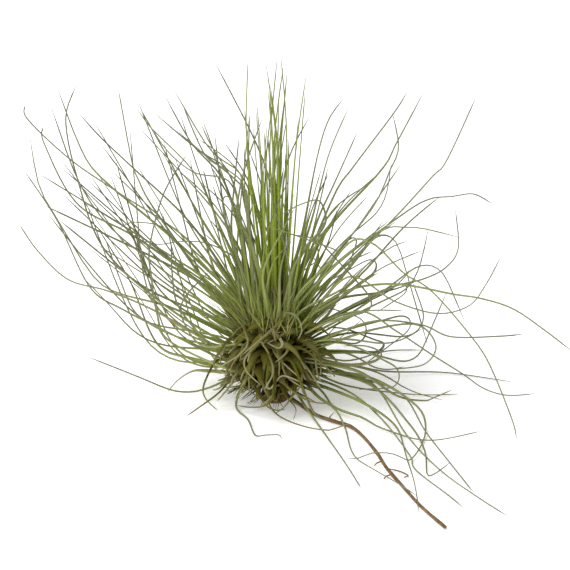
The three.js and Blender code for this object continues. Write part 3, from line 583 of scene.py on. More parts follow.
THREAD = leaf_kind(4, 12.0, 0.55)
STRAY = leaf_kind(6, 12.0, 0.8)
TONGUE = leaf_kind(6, 7.5, 2.2, 1.2, 0.72, (0.2, 0.4), "tongue")
WRAP = leaf_kind(8, 15.0, 2.6, 1.2, 0.72, (0.0, 0.2), "tongue", sheath_share=0.8)
TOOTH = leaf_kind(4, 4.0, 1.4, neck=0.6, rings=RINGS.short)
FIBRE = leaf_kind(4, 4.0, 0.5, taper=1.5, channel=(0.5, 0.3), rings=RINGS.short, girth=0.27)


def deselect():
    bpy.ops.object.select_all(action="DESELECT")


def select_where(mesh_object, wanted):
    """In edit mode, selects the vertices that the test picks, and nothing else."""
    bpy.ops.mesh.select_all(action="DESELECT")
    bpy.ops.object.mode_set(mode="OBJECT")
    for vertex in mesh_object.data.vertices:
        vertex.select = wanted(vertex.co)
    bpy.ops.object.mode_set(mode="EDIT")


def leaf_profile(sizes, kind, rings):
    """Half width and half thickness of each ring of a leaf, and how far its channel is sunk."""
    broad = getattr(sizes, kind.starts_as + "_width")
    thick = getattr(sizes, kind.starts_as + "_thickness")
    neck = sizes.neck_width * kind.neck
    sunk_most, sunk_least = kind.channel
    profile = []
    for k in range(SHEATH_RINGS):
        share = k / SHEATH_RINGS
        width = mix(broad, neck, share ** kind.fullness)
        thickness = mix(thick, sizes.neck_thickness, share ** max(1.0, kind.fullness))
        profile.append((width, thickness, mix(sunk_most, sunk_least, share)))
    for k in range(SHEATH_RINGS, rings + 1):
        thinness = 1 - (1 - (k - SHEATH_RINGS) / (rings - SHEATH_RINGS)) ** kind.taper
        width = mix(neck, sizes.tip_width, thinness)
        thickness = mix(sizes.neck_thickness, sizes.tip_width * TIP_THICKNESS, thinness)
        profile.append((width, thickness, sunk_least * (1 - thinness)))
    width, thickness, _ = profile[-1]
    profile[-1] = (width * POINT_SHARE, thickness * POINT_SHARE, 0.0)
    half = kind.girth / 2
    return [(width * half, thickness * half, sunk) for width, thickness, sunk in profile]


def straight_leaf(name, profile, corners):
    """A closed leaf standing on the origin, with one ring for each row of the profile, 1 apart.

    Its first corner is the middle of its upper face, where the channel runs.
    """
    deselect()
    bpy.ops.mesh.primitive_circle_add(
        vertices=corners, radius=1.0, fill_type="NGON", location=(0, 0, 0))
    leaf = bpy.context.object
    leaf.name = name
    bpy.ops.object.mode_set(mode="EDIT")
    bpy.ops.mesh.select_all(action="SELECT")
    last_width, last_thickness = 1.0, 1.0
    for ring, (width, thickness, _) in enumerate(profile):
        if ring:
            bpy.ops.mesh.extrude_region_move(TRANSFORM_OT_translate={"value": (0, 0, 1)})
        ratio = (width / last_width, thickness / last_thickness, 1)
        bpy.ops.transform.resize(value=ratio, center_override=(0, 0, ring))
        last_width, last_thickness = width, thickness
    for ring, (_, thickness, sunk) in enumerate(profile):
        edge = thickness * CHANNEL_EDGE
        select_where(leaf, lambda co: round(co.z) == ring and co.y > edge)
        bpy.ops.transform.translate(value=(0, -thickness * sunk, 0))
    bpy.ops.mesh.select_all(action="SELECT")
    bpy.ops.mesh.normals_make_consistent(inside=False)
    bpy.ops.object.mode_set(mode="OBJECT")
    bpy.ops.object.shade_smooth()
    return leaf


class Way:
    """A leaf's way, in millimetres, measured along its length."""

    def __init__(self, points):
        self.points = points
        self.lengths = [0.0]
        self.turns = [0.0]
        for a, b in zip(points, points[1:]):
            self.lengths.append(self.lengths[-1] + (b - a).length)
        for a, b, c in zip(points, points[1:], points[2:]):
            self.turns.append(self.turns[-1] + (b - a).angle(c - b, 0.0))
        self.turns.append(self.turns[-1])
        self.length = self.lengths[-1]
        self.turn = self.turns[-1]

    def place_at(self, measure, wanted):
        """Where a rising measure of the points reaches a value: the point before and the share."""
        j = 0
        while j < len(measure) - 2 and measure[j + 1] < wanted:
            j += 1
        step = measure[j + 1] - measure[j]
        return j, (clamp((wanted - measure[j]) / step) if step > 0 else 0.0)

    def point_at(self, distance):
        j, share = self.place_at(self.lengths, distance)
        last = len(self.points) - 1
        before, after = self.points[max(0, j - 1)], self.points[min(last, j + 2)]
        return spline(before, self.points[j], self.points[j + 1], after, share)

    def stations(self, rings, sheath_length):
        """How far along each ring lies: the sheath's first, then closest where the leaf bends."""
        stations = [sheath_length * k / SHEATH_RINGS for k in range(SHEATH_RINGS)]
        pull = [s + TURN_PULL * t for s, t in zip(self.lengths, self.turns)]
        j, part = self.place_at(self.lengths, sheath_length)
        start = mix(pull[j], pull[j + 1], part)
        for k in range(SHEATH_RINGS, rings + 1):
            share = (k - SHEATH_RINGS) / (rings - SHEATH_RINGS)
            j, part = self.place_at(pull, mix(start, pull[-1], share))
            stations.append(mix(self.lengths[j], self.lengths[j + 1], part))
        return stations


def lay_along(straight, way, rings, look, sheath_length, sheath_share=SHEATH_SHARE):
    """A copy of the straight leaf with its own mesh, laid along a way.

    Its two attributes say, at each point, how far along the leaf it is, the leaf's own tone and
    how dry it is, and where on the strand it is: across it, along it, and which leaf it is on.
    """
    mesh = straight.data.copy()
    leaf = bpy.data.objects.new(straight.name + "_copy", mesh)
    bpy.context.collection.objects.link(leaf)
    stations = way.stations(rings, min(sheath_length, way.length * sheath_share))
    centres = [way.point_at(distance) for distance in stations]
    azimuth = math.atan2(centres[0].y, centres[0].x)
    side = Vector((-math.sin(azimuth), math.cos(azimuth), 0))
    frames = []
    for distance, centre in zip(stations, centres):
        ahead = way.point_at(min(way.length, distance + LOOK_AHEAD))
        behind = way.point_at(max(0.0, distance - LOOK_AHEAD))
        along = (ahead - behind).normalized()
        side = (side - along * side.dot(along)).normalized()
        turned = look.twist * max(0.0, distance / way.length - TWIST.starts)
        across = side * math.cos(turned) + along.cross(side) * math.sin(turned)
        frames.append((centre, across, along.cross(across)))
    strand, looks = [], []
    for vertex in mesh.vertices:
        ring = round(vertex.co.z)
        centre, across, up = frames[ring]
        edge = 0.0 if abs(vertex.co.x) < NO_WIDTH else math.copysign(1.0, vertex.co.x)
        strand.extend((edge, stations[ring] / CM, look.number))
        looks.extend((stations[ring] / way.length, look.tone, look.dry))
        width = vertex.co.x * look.width
        vertex.co = (centre + (across * width + up * vertex.co.y) / MM) * MM
        vertex.co.z = max(vertex.co.z, JUST_UP)
    for name, values in (("strand", strand), ("look", looks)):
        mesh.attributes.new(name, "FLOAT_VECTOR", "POINT").data.foreach_set("vector", values)
    return leaf


class LeafShop:
    """The straight leaves that a piece needs, each modelled at its first use."""

    def __init__(self, sizes, kind):
        self.sizes = sizes
        self.kind = kind
        self.made = {}

    def lay(self, path, look):
        way, kind = Way(path), self.kind
        rings = kind.rings or (RINGS.curly if way.turn > CURLY_TURN else RINGS.plain)
        if rings not in self.made:
            profile = leaf_profile(self.sizes, kind, rings)
            self.made[rings] = straight_leaf(f"straight_leaf_{rings}", profile, kind.corners)
        return lay_along(
            self.made[rings], way, rings, look, kind.sheath_length, kind.sheath_share)

    def close(self):
        for leaf in self.made.values():
            bpy.data.meshes.remove(leaf.data)


def dryness(height):
    """A grey leaf's range of dryness, by how high it starts on the bulb."""
    inner = clamp((height - DRYNESS.outer) / (DRYNESS.inner - DRYNESS.outer))
    return [mix(low, high, inner) for low, high in zip(DRYNESS.low, DRYNESS.high)]


def look_of(piece, number, width=1.0, height=0.0):
    """A leaf's own tone, dryness, width and twist, from a run of draws of its own."""
    number += piece.first
    draw = draws_for(LOOKS_SEED + number)
    dry = piece.dry or dryness(height)
    return Sizes(number=float(number), tone=draw(0, 1), dry=min(1.0, draw(*dry)),
                 width=piece.width * width * draw(*WIDTH_WANDER), twist=draw(*TWIST.range))


def join(leaves, name):
    deselect()
    for leaf in leaves:
        leaf.select_set(True)
    bpy.context.view_layer.objects.active = leaves[0]
    bpy.ops.object.join()
    piece = bpy.context.object
    piece.name = piece.data.name = name
    return piece


def finish_piece(piece, node, slot, material):
    """Dresses a piece and puts it on the plant in place of its solid."""
    piece.data.materials.clear()
    piece.data.materials.append(material)
    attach(piece, "root")
    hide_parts(node)


# ---------- shader node groups and materials ----------
class Graph:
    """Adds nodes to a tree and joins them, so that a material reads as a list of steps."""

    def __init__(self, tree):
        self.tree = tree

    def feed(self, socket, value):
        if isinstance(value, bpy.types.NodeSocket):
            self.tree.links.new(value, socket)
        else:
            socket.default_value = value

    def add(self, kind, inputs=None, **settings):
        node = self.tree.nodes.new(kind)
        for key, value in settings.items():
            setattr(node, key, value)
        for key, value in (inputs or {}).items():
            self.feed(node.inputs[key], value)
        return node

    def shared(self, build, inputs):
        """The outputs of a shared node group, which is built at its first use."""
        tree = bpy.data.node_groups.get(build.__name__) or build()
        return self.add("ShaderNodeGroup", inputs, node_tree=tree).outputs

    def math(self, operation, a, b=0.0, clamped=False):
        node = self.add("ShaderNodeMath", {0: a, 1: b}, operation=operation, use_clamp=clamped)
        return node.outputs[0]

    def times(self, a, b):
        return self.math("MULTIPLY", a, b)

    def plus(self, a, b):
        return self.math("ADD", a, b)

    def blend(self, share, a, b, how="MIX"):
        node = self.add("ShaderNodeMix", data_type="RGBA", blend_type=how)
        for socket, value in ((0, share), (6, a), (7, b)):
            self.feed(node.inputs[socket], value)
        return node.outputs[2]

    def span(self, value, low, high, to_low=0.0, to_high=1.0):
        return self.add("ShaderNodeMapRange", {
            "Value": value, "From Min": low, "From Max": high, "To Min": to_low,
            "To Max": to_high}).outputs[0]

    def noise(self, vector, scale, detail=2.0, roughness=0.5):
        return self.add("ShaderNodeTexNoise", {
            "Vector": vector, "Scale": scale, "Detail": detail, "Roughness": roughness}).outputs[0]

    def place(self):
        return self.add("ShaderNodeTexCoord").outputs["Object"]

    def attribute(self, name):
        return self.add("ShaderNodeAttribute", attribute_name=name).outputs["Vector"]

    def parts(self, vector):
        return self.add("ShaderNodeSeparateXYZ", {"Vector": vector}).outputs

    def vector(self, x, y, z):
        return self.add("ShaderNodeCombineXYZ", {"X": x, "Y": y, "Z": z}).outputs[0]

    def ramp(self, share, stops):
        node = self.add("ShaderNodeValToRGB", {"Fac": share})
        ramp = node.color_ramp
        for place, colour in stops[1:-1]:
            ramp.elements.new(place).color = colour
        ramp.elements[0].position, ramp.elements[0].color = stops[0]
        ramp.elements[-1].position, ramp.elements[-1].color = stops[-1]
        return node.outputs[0]


def new_group(name, inputs, outputs):
    """A shader node group with named sockets. A pair is a socket's kind and default."""
    tree = bpy.data.node_groups.new(name, "ShaderNodeTree")
    for socket, (kind, default) in inputs.items():
        made = tree.interface.new_socket(socket, in_out="INPUT", socket_type=kind)
        if default is not None:
            made.default_value = default
    for socket, kind in outputs.items():
        tree.interface.new_socket(socket, in_out="OUTPUT", socket_type=kind)
    into = tree.nodes.new("NodeGroupInput").outputs
    out = tree.nodes.new("NodeGroupOutput").inputs
    return Graph(tree), into, out


COLOUR, VALUE, VECTOR = "NodeSocketColor", "NodeSocketFloat", "NodeSocketVector"


def silver_scurf():
    """The fine silvery bloom of an air plant's leaves: a grey veil, broken up finely."""
    graph, into, out = new_group(
        "silver_scurf",
        {"Colour": (COLOUR, None), "Silver": (COLOUR, None), "Amount": (VALUE, 0.5),
         "Grain": (VALUE, 2600.0)},
        {"Colour": COLOUR, "Roughness": VALUE, "Height": VALUE})
    place = graph.place()
    fine = graph.noise(place, into["Grain"], detail=3.0, roughness=0.6)
    broad = graph.noise(place, graph.times(into["Grain"], 0.06))
    flecks = graph.span(fine, 0.42, 0.62)
    patches = graph.span(broad, 0.35, 0.68, to_low=0.45)
    veil = graph.math("MULTIPLY", graph.times(flecks, patches), into["Amount"], clamped=True)
    graph.feed(out["Colour"], graph.blend(veil, into["Colour"], into["Silver"]))
    graph.feed(out["Roughness"], graph.span(veil, 0.0, 0.6, to_low=0.5, to_high=0.78))
    graph.feed(out["Height"], flecks)
    return graph.tree


def leaf_tone():
    """Each leaf's own shade, with slow changes along it."""
    graph, into, out = new_group(
        "leaf_tone",
        {"Colour": (COLOUR, None), "Tone": (VALUE, 0.5), "Strand": (VECTOR, None),
         "Spread": (VALUE, 0.3)},
        {"Colour": COLOUR, "Streaks": VALUE})
    slow = graph.noise(into["Strand"], 0.6, detail=1.0)
    split = graph.parts(into["Strand"])
    squeezed = graph.vector(graph.times(split["X"], 3.0), graph.times(split["Y"], 0.8),
                            graph.times(split["Z"], 7.3))
    shade = graph.plus(graph.times(into["Tone"], 0.65), graph.times(slow, 0.35))
    centred = graph.times(graph.math("SUBTRACT", shade, 0.5), into["Spread"])
    turned = graph.add("ShaderNodeHueSaturation", {
        "Hue": graph.plus(graph.times(centred, -0.12), 0.5),
        "Saturation": graph.plus(graph.times(centred, -1.0), 1.0),
        "Value": graph.plus(graph.times(centred, 2.0), 1.0), "Color": into["Colour"]})
    graph.feed(out["Colour"], turned.outputs[0])
    graph.feed(out["Streaks"], graph.noise(squeezed, 1.3))
    return graph.tree


def dry_bark():
    """Dry fibrous bark: lengthwise fibres, flakes and dark cracks."""
    graph, into, out = new_group(
        "dry_bark",
        {"Light": (COLOUR, None), "Dark": (COLOUR, None), "Grain": (VALUE, 700.0)},
        {"Colour": COLOUR, "Roughness": VALUE, "Height": VALUE})
    place = graph.place()
    fibres = graph.noise(place, into["Grain"], detail=5.0, roughness=0.65)
    flakes = graph.noise(place, graph.times(into["Grain"], 0.3), detail=3.0, roughness=0.6)
    share = graph.span(graph.plus(graph.times(fibres, 0.6), graph.times(flakes, 0.4)), 0.36, 0.62)
    graph.feed(out["Colour"], graph.blend(share, into["Dark"], into["Light"]))
    graph.feed(out["Roughness"], graph.span(share, 0.0, 1.0, to_low=0.95, to_high=0.75))
    graph.feed(out["Height"], share)
    return graph.tree


def new_material(name):
    material = bpy.data.materials.new(name)
    material.use_nodes = True
    material.node_tree.nodes.clear()
    return material, Graph(material.node_tree)


def dress(graph, colour, roughness, height, bump, bump_depth, **others):
    """Ends a material: a bump, the surface shader and the output."""
    normal = graph.add("ShaderNodeBump", {
        "Strength": bump, "Distance": bump_depth, "Height": height}).outputs[0]
    shader = graph.add("ShaderNodeBsdfPrincipled", {
        "Base Color": colour, "Roughness": roughness, "Normal": normal,
        **{socket.replace("_", " "): value for socket, value in others.items()}})
    graph.add("ShaderNodeOutputMaterial", {"Surface": shader.outputs[0]})


def leaf_finish(name, stops, bloom, bloom_amount, tones, darkest=0.2, fresh=None, above=None):
    """A leaf's finish. Its name is its material's.

    Stops run from root to tip, and every colour goes by its name in the sidebar's settings.
    The tones say how much the leaves' own tones differ, and the root shade share is the share of
    its colour that a leaf keeps where it leaves the bulb, partly its own brown and partly painted
    shade.
    Fresh holds the stops of a fresh leaf, and above is the colour that leaves take high on the
    bulb.
    """
    return Sizes(**locals())


GREY_LEAF = leaf_finish(
    "grey_green_leaf",
    ((0.0, "leaf_root"), (0.14, "leaf_base"), (0.46, "leaf_middle"), (1.0, "leaf_tip")),
    "silver", 0.42, 0.34, 0.5,
    ((0.0, "leaf_root"), (0.14, "fresh_base"), (0.5, "fresh_middle"), (1.0, "fresh_tip")))
# The front and wrapped leaves start in the front root's colour, which is painted shade at their
# roots.
FRONT_LEAF = leaf_finish(
    "front_leaf",
    ((0.0, "front_root"), (0.2, "front_base"), (0.42, "front_middle"), (1.0, "front_tip")),
    "old_silver", 0.1, 0.34,
    fresh=((0.0, "front_root"), (0.2, "front_base"), (0.4, "bulb_top"), (0.65, "front_tip"),
           (1.0, "front_tip")), above="bulb_top")
WRAPPED_LEAF = leaf_finish(
    "wrapped_leaf",
    ((0.0, "front_root"), (0.35, "front_base"), (0.6, "bulb_top"), (0.85, "front_middle"),
     (1.0, "front_tip")), "old_silver", 0.16, 0.34)
# The old leaves and the leaf bases start in the bulb's colour, which is painted shade at their
# roots.
OLD_LEAF = leaf_finish(
    "old_leaf", ((0.0, "bulb"), (0.3, "old_leaf"), (0.65, "front_middle"), (1.0, "front_tip")),
    "old_silver", 0.25, 0.4)
LEAF_BASE = leaf_finish(
    "leaf_base", ((0.0, "bulb"), (0.4, "scale"), (0.75, "bulb_top"), (1.0, "front_tip")),
    "old_silver", 0.25, 0.4)
YOUNG_LEAF = leaf_finish(
    "young_leaf",
    ((0.0, "heart_foot"), (0.12, "heart_foot"), (0.34, "young_base"), (0.62, "young_middle"),
     (1.0, "leaf_tip")), "silver", 0.28, 0.34, 0.6)
HEART_LEAF = leaf_finish(
    "heart_leaf",
    ((0.0, "heart_foot"), (0.18, "heart_foot"), (0.34, "heart_base"), (0.6, "heart_middle"),
     (1.0, "heart_tip")), "silver", 0.14, 0.3)

# A leaf with a dryness of the first is wholly fresh, and one with the second not at all.
FRESH = (-1.0, -0.35)
# A leaf is darkened between the old ones from the first to the second, in centimetres: partly the
# brown of its old base, partly painted shade deep in the bulb.
DEEP = (0.1, 0.55)
# From here to here the bulb's leaves turn greener, most at their roots.
BULB_TOP = Sizes(heights=(14.0 * MM, 20.0 * MM), most=0.7, along=(0.35, 0.7))
# A leaf's root shade, partly painted shade, keeps more red, and its bloom is thickest at its edges.
# The flecks of the bloom stand up by a share of what the leaf's streaks do.
SKIN = Sizes(redder=0.75, edge=2.5, edge_bloom=0.7, flecks=0.4)


def leaf_material(colours, finish):
    """A leaf: its colours from root to tip, its own tone, its dry share and its silvery bloom."""
    found = bpy.data.materials.get(finish.name)
    if found:
        return found
    material, graph = new_material(finish.name)
    strand = graph.attribute("strand")
    look, places = graph.parts(graph.attribute("look")), graph.parts(strand)

    def ramp(stops):
        return graph.ramp(look["X"], [(place, getattr(colours, name)) for place, name in stops])

    green = ramp(finish.stops)
    if finish.fresh:
        green = graph.blend(graph.span(look["Z"], *FRESH, 1.0, 0.0), green, ramp(finish.fresh))
    if finish.above:
        height = graph.parts(graph.place())["Z"]
        high = graph.times(graph.span(height, *BULB_TOP.heights, 0.0, BULB_TOP.most),
                           graph.span(look["X"], *BULB_TOP.along, 1.0, 0.0))
        green = graph.blend(high, green, getattr(colours, finish.above))
    tone = graph.shared(leaf_tone, {
        "Colour": graph.blend(look["Z"], green, colours.dry_leaf), "Tone": look["Y"],
        "Strand": strand, "Spread": finish.tones})
    # Painted shade, partly the leaf's own brown: each leaf darkens towards its root, deep in the
    # bulb.
    deep = graph.span(places["Y"], *DEEP, finish.darkest, 1.0)
    deep_brown = graph.vector(graph.math("POWER", deep, SKIN.redder), deep, deep)
    rooted = graph.blend(1.0, tone["Colour"], deep_brown, "MULTIPLY")
    bloom = getattr(colours, finish.bloom)
    edge = graph.math("POWER", graph.math("ABSOLUTE", places["X"]), SKIN.edge)
    edged = graph.blend(graph.times(edge, finish.bloom_amount * SKIN.edge_bloom), rooted, bloom)
    scurf = graph.shared(silver_scurf, {
        "Colour": edged, "Silver": bloom, "Amount": finish.bloom_amount})
    height = graph.plus(graph.times(scurf["Height"], SKIN.flecks), tone["Streaks"])
    dress(graph, scurf["Colour"], scurf["Roughness"], height, bump=0.5, bump_depth=0.00025,
          Specular_IOR_Level=0.05)
    return material


def bark_material(name, light, dark, grain):
    material, graph = new_material(name)
    bark = graph.shared(dry_bark, {"Light": light, "Dark": dark, "Grain": grain})
    dress(graph, bark["Colour"], bark["Roughness"], bark["Height"], bump=0.8, bump_depth=0.0004,
          Specular_IOR_Level=0.25)
    return material


# The floor is lit from below too. Near the plant that keeps the shadows pale, and far from it,
# where the lamps no longer reach, it keeps the floor as pale as it is near. All in metres.
FLOOR = Sizes(
    radius=14.0, sides=96, near_glow=0.3, far_glow=0.62, glow_rises=(0.5, 2.2), clouds=3.0,
    cloudy=(0.3, 0.7), cloud_share=0.04, cloud=(0.8, 0.8, 0.8, 1), roughness=(0.8, 0.9))


def floor_material(colour):
    material, graph = new_material("pale_floor")
    place = graph.place()
    cloud = graph.noise(place, FLOOR.clouds, detail=3.0)
    share = graph.span(cloud, *FLOOR.cloudy, to_high=FLOOR.cloud_share)
    shade = graph.blend(share, colour, FLOOR.cloud)
    roughness = graph.span(cloud, *FLOOR.cloudy, *FLOOR.roughness)
    away = graph.add("ShaderNodeVectorMath", {0: place}, operation="LENGTH").outputs["Value"]
    near = [FLOOR.near_glow / FLOOR.far_glow] * 3 + [1]
    glow = graph.blend(graph.span(away, *FLOOR.glow_rises), near, (1, 1, 1, 1))
    dress(graph, shade, roughness, cloud, bump=0.02, bump_depth=0.001, Specular_IOR_Level=0.1,
          Emission_Color=glow, Emission_Strength=FLOOR.far_glow)
    return material


# ---------- what a user may change ----------
def from_screen(red, green, blue):
    """A colour as a screen shows it, 0 to 255, as the linear colour that Blender keeps."""
    def linear(part):
        share = part / 255
        return share / 12.92 if share <= 0.04045 else ((share + 0.055) / 1.055) ** 2.4
    return linear(red), linear(green), linear(blue), 1.0


def length_of(name, millimetres, about):
    return bpy.props.FloatProperty(
        name=name, description=about, default=millimetres * MM, min=0.0, precision=5,
        unit="LENGTH", subtype="DISTANCE")


def colour_of(name, red, green, blue, about):
    return bpy.props.FloatVectorProperty(
        name=name, description=about, default=from_screen(red, green, blue), size=4,
        min=0.0, max=1.0, subtype="COLOR")


class AIRPLANT_PG_leaves(bpy.types.PropertyGroup):
    """The leaves' sizes."""
    sheath_width: length_of("Sheath width", 2.2, "Width of a leaf where it leaves the bulb")
    tongue_width: length_of("Tongue width", 4.6, "Width of a front leaf where it leaves the bulb")
    sheath_thickness: length_of("Sheath thickness", 1.0, "Thickness of a leaf's sheath")
    tongue_thickness: length_of("Tongue thickness", 2.5, "Thickness of a front leaf at its root")
    neck_width: length_of("Neck width", 1.35, "Width where the sheath becomes a thread")
    neck_thickness: length_of("Neck thickness", 0.8, "Thickness where the sheath ends")
    tip_width: length_of("Tip width", 0.42, "Width of a leaf just before its tip")


class AIRPLANT_PG_colours(bpy.types.PropertyGroup):
    """The plant's colours."""
    leaf_root: colour_of("Leaf root", 134, 130, 58, "Where a leaf leaves the bulb")
    leaf_base: colour_of("Leaf base", 158, 170, 70, "The lower third of a leaf")
    leaf_middle: colour_of("Leaf middle", 117, 120, 76, "The middle of a leaf")
    leaf_tip: colour_of("Leaf tip", 82, 82, 70, "The fine end of a leaf")
    fresh_base: colour_of("Fresh leaf base", 157, 170, 68, "The lower third of an inner leaf")
    fresh_middle: colour_of("Fresh leaf middle", 132, 142, 66, "The middle of an inner leaf")
    fresh_tip: colour_of("Fresh leaf tip", 101, 105, 70, "The fine end of an inner leaf")
    young_base: colour_of("Young leaf base", 157, 170, 68, "The lower third of a young leaf")
    young_middle: colour_of("Young leaf middle", 138, 150, 56, "The middle of a young leaf")
    heart_foot: colour_of("Heart foot", 112, 118, 52, "Where a heart leaf leaves the bulb")
    heart_base: colour_of("Heart base", 156, 175, 48, "The lower third of a heart leaf")
    heart_middle: colour_of("Heart middle", 152, 170, 58, "The middle of a heart leaf")
    heart_tip: colour_of("Heart tip", 128, 135, 82, "The fine end of a heart leaf")
    # Partly painted shade: the front leaves' root and broad base are darkened for the shade in the
    # bulb's gaps, on top of their own olive brown.
    front_root: colour_of("Front leaf root", 20, 16, 2, "Where a front leaf leaves the bulb")
    front_base: colour_of("Front leaf base", 56, 51, 6, "The broad part of a front leaf")
    front_middle: colour_of("Front leaf middle", 88, 84, 18, "Where a front leaf gets thin")
    front_tip: colour_of("Front leaf tip", 154, 153, 114, "The curled end of a front leaf")
    dry_leaf: colour_of("Dry leaf", 154, 138, 84, "A leaf, or part of one, that has dried")
    old_leaf: colour_of("Old leaf", 46, 39, 0, "The old short leaves at the bulb's foot")
    silver: colour_of("Silver bloom", 178, 184, 150, "The fine bloom over every leaf")
    bulb_top: colour_of("Bulb top", 92, 92, 34, "The front leaves that are highest on the bulb")
    scale: colour_of("Leaf base on the bulb", 62, 56, 14, "The broad leaf bases round the bulb")
    old_silver: colour_of("Old bloom", 140, 136, 78, "The bloom over the leaves of the bulb")
    # Painted shade: the bulb's near-black body colour stands for the shade deep between the leaves.
    bulb: colour_of("Bulb", 36, 30, 6, "The bulb deep between the leaves")
    bark_light: colour_of("Bark, light", 138, 112, 74, "The raised fibres of the stem")
    bark_dark: colour_of("Bark, dark", 66, 48, 28, "The cracks of the stem")
    root_light: colour_of("Root, light", 146, 120, 84, "The raised fibres of the root")
    root_dark: colour_of("Root, dark", 92, 66, 38, "The cracks of the root")


class AIRPLANT_PG_stage(bpy.types.PropertyGroup):
    """The camera, lights and floor."""
    distance: length_of("Camera distance", 480, "From the middle of the picture to the camera")
    elevation: bpy.props.FloatProperty(
        name="Elevation", description="Height of the camera above the level, as an angle",
        default=math.radians(22), subtype="ANGLE", unit="ROTATION")
    lens: bpy.props.FloatProperty(
        name="Lens", description="Focal length on a 36 mm sensor", default=112.3, unit="CAMERA")
    floor: colour_of("Floor", 248, 248, 248, "The pale floor")
    key_power: bpy.props.FloatProperty(
        name="Key light", description="Power of the soft light from the upper left", default=52.0,
        unit="POWER")
    fill_power: bpy.props.FloatProperty(
        name="Fill light", description="Power of the soft light from the right", default=2.0,
        unit="POWER")
    sky: bpy.props.FloatProperty(
        name="Sky", description="Strength of the even white light all round", default=0.45)


# ---------- the leaf pieces ----------
# A grey leaf that starts at the outer height or lower has the low range of dryness, and one that
# starts at the inner height or above has the high range.
DRYNESS = Sizes(outer=13.0, inner=20.0, low=(-0.2, 0.65), high=(-1.15, -0.1))
WIDTH_WANDER = (0.9, 1.1)  # each leaf's width is its usual one times a draw from this range


def leaf_piece(kind, finish, first, dry=None, width=1.0, node="rosette", slot="grey_leaf"):
    """What the leaves of one piece have in common.

    First is the first leaf's number, by which every leaf draws a look of its own. Dry is the range
    of dryness, below 0 for fresh leaves; without one it follows the height a leaf starts at.
    """
    return Sizes(**locals())


LEAF_PIECES = {
    "old_leaves": leaf_piece(TOOTH, OLD_LEAF, 500, (-0.3, 0.5), 0.6),
    "leaf_bases": leaf_piece(TONGUE, LEAF_BASE, 800, (-0.3, 0.5), 0.85),
    "rosette_leaves": leaf_piece(THREAD, GREY_LEAF, 0),
    "front_leaves": leaf_piece(TONGUE, FRONT_LEAF, 0, (-0.3, 0.4)),
    "swept_left_leaves": leaf_piece(STRAY, GREY_LEAF, 200, width=0.9),
    "swept_right_leaves": leaf_piece(STRAY, GREY_LEAF, 230, width=0.9),
    "curled_leaves": leaf_piece(TONGUE, FRONT_LEAF, 260, (-1.2, -1.0)),
    "wrapped_leaves": leaf_piece(WRAP, WRAPPED_LEAF, 320, (-0.6, 0.3), 0.68),
    "trailing_leaves": leaf_piece(STRAY, GREY_LEAF, 280, (-0.2, 0.3), 0.72),
    "thin_hooks": leaf_piece(STRAY, GREY_LEAF, 300, (-0.2, 0.2), 0.5),
    "young_leaves": leaf_piece(THREAD, YOUNG_LEAF, 350, (-0.6, 0.1), 0.78),
    "sprouts": leaf_piece(TOOTH, YOUNG_LEAF, 700, (-0.6, 0.1), 0.6),
    "crown_fibres": leaf_piece(FIBRE, YOUNG_LEAF, 600, (-0.3, 1.0)),
    "heart_leaves": leaf_piece(
        THREAD, HEART_LEAF, 400, (-0.5, 0.15), 0.9, "heart_tuft", "green_leaf"),
}
ROOT_LOOK = Sizes(first=1, dry=(0.4, 0.4), width=1.0)
STRAY_WAYS = {
    "swept_left_leaves": SWEPT_LEFT, "swept_right_leaves": SWEPT_RIGHT,
    "curled_leaves": CURLED_FRONT, "wrapped_leaves": WRAPPED, "trailing_leaves": TRAILING,
    "thin_hooks": THIN_HOOKS}


# ---------- the operators ----------
class PlantOperator:
    """What the plant's operators share."""
    bl_options = {"REGISTER", "UNDO"}

    @property
    def colours(self):
        return bpy.context.scene.air_plant_colours

    def lay(self, name, ways):
        """Lays a piece's leaves, each given as its number, its way and what else sets its look."""
        piece = LEAF_PIECES[name]
        shop = LeafShop(bpy.context.scene.air_plant_leaves, piece.kind)
        leaves = [shop.lay(path, look_of(piece, number, *more)) for number, path, *more in ways]
        shop.close()
        material = leaf_material(self.colours, piece.finish)
        finish_piece(join(leaves, name), piece.node, piece.slot, material)

    def cover(self, piece, node, name, colour, grain):
        """Covers a piece in bark, in a material of the given name."""
        light = getattr(self.colours, colour + "_light")
        dark = getattr(self.colours, colour + "_dark")
        finish_piece(piece, node, name, bark_material(name, light, dark, grain))


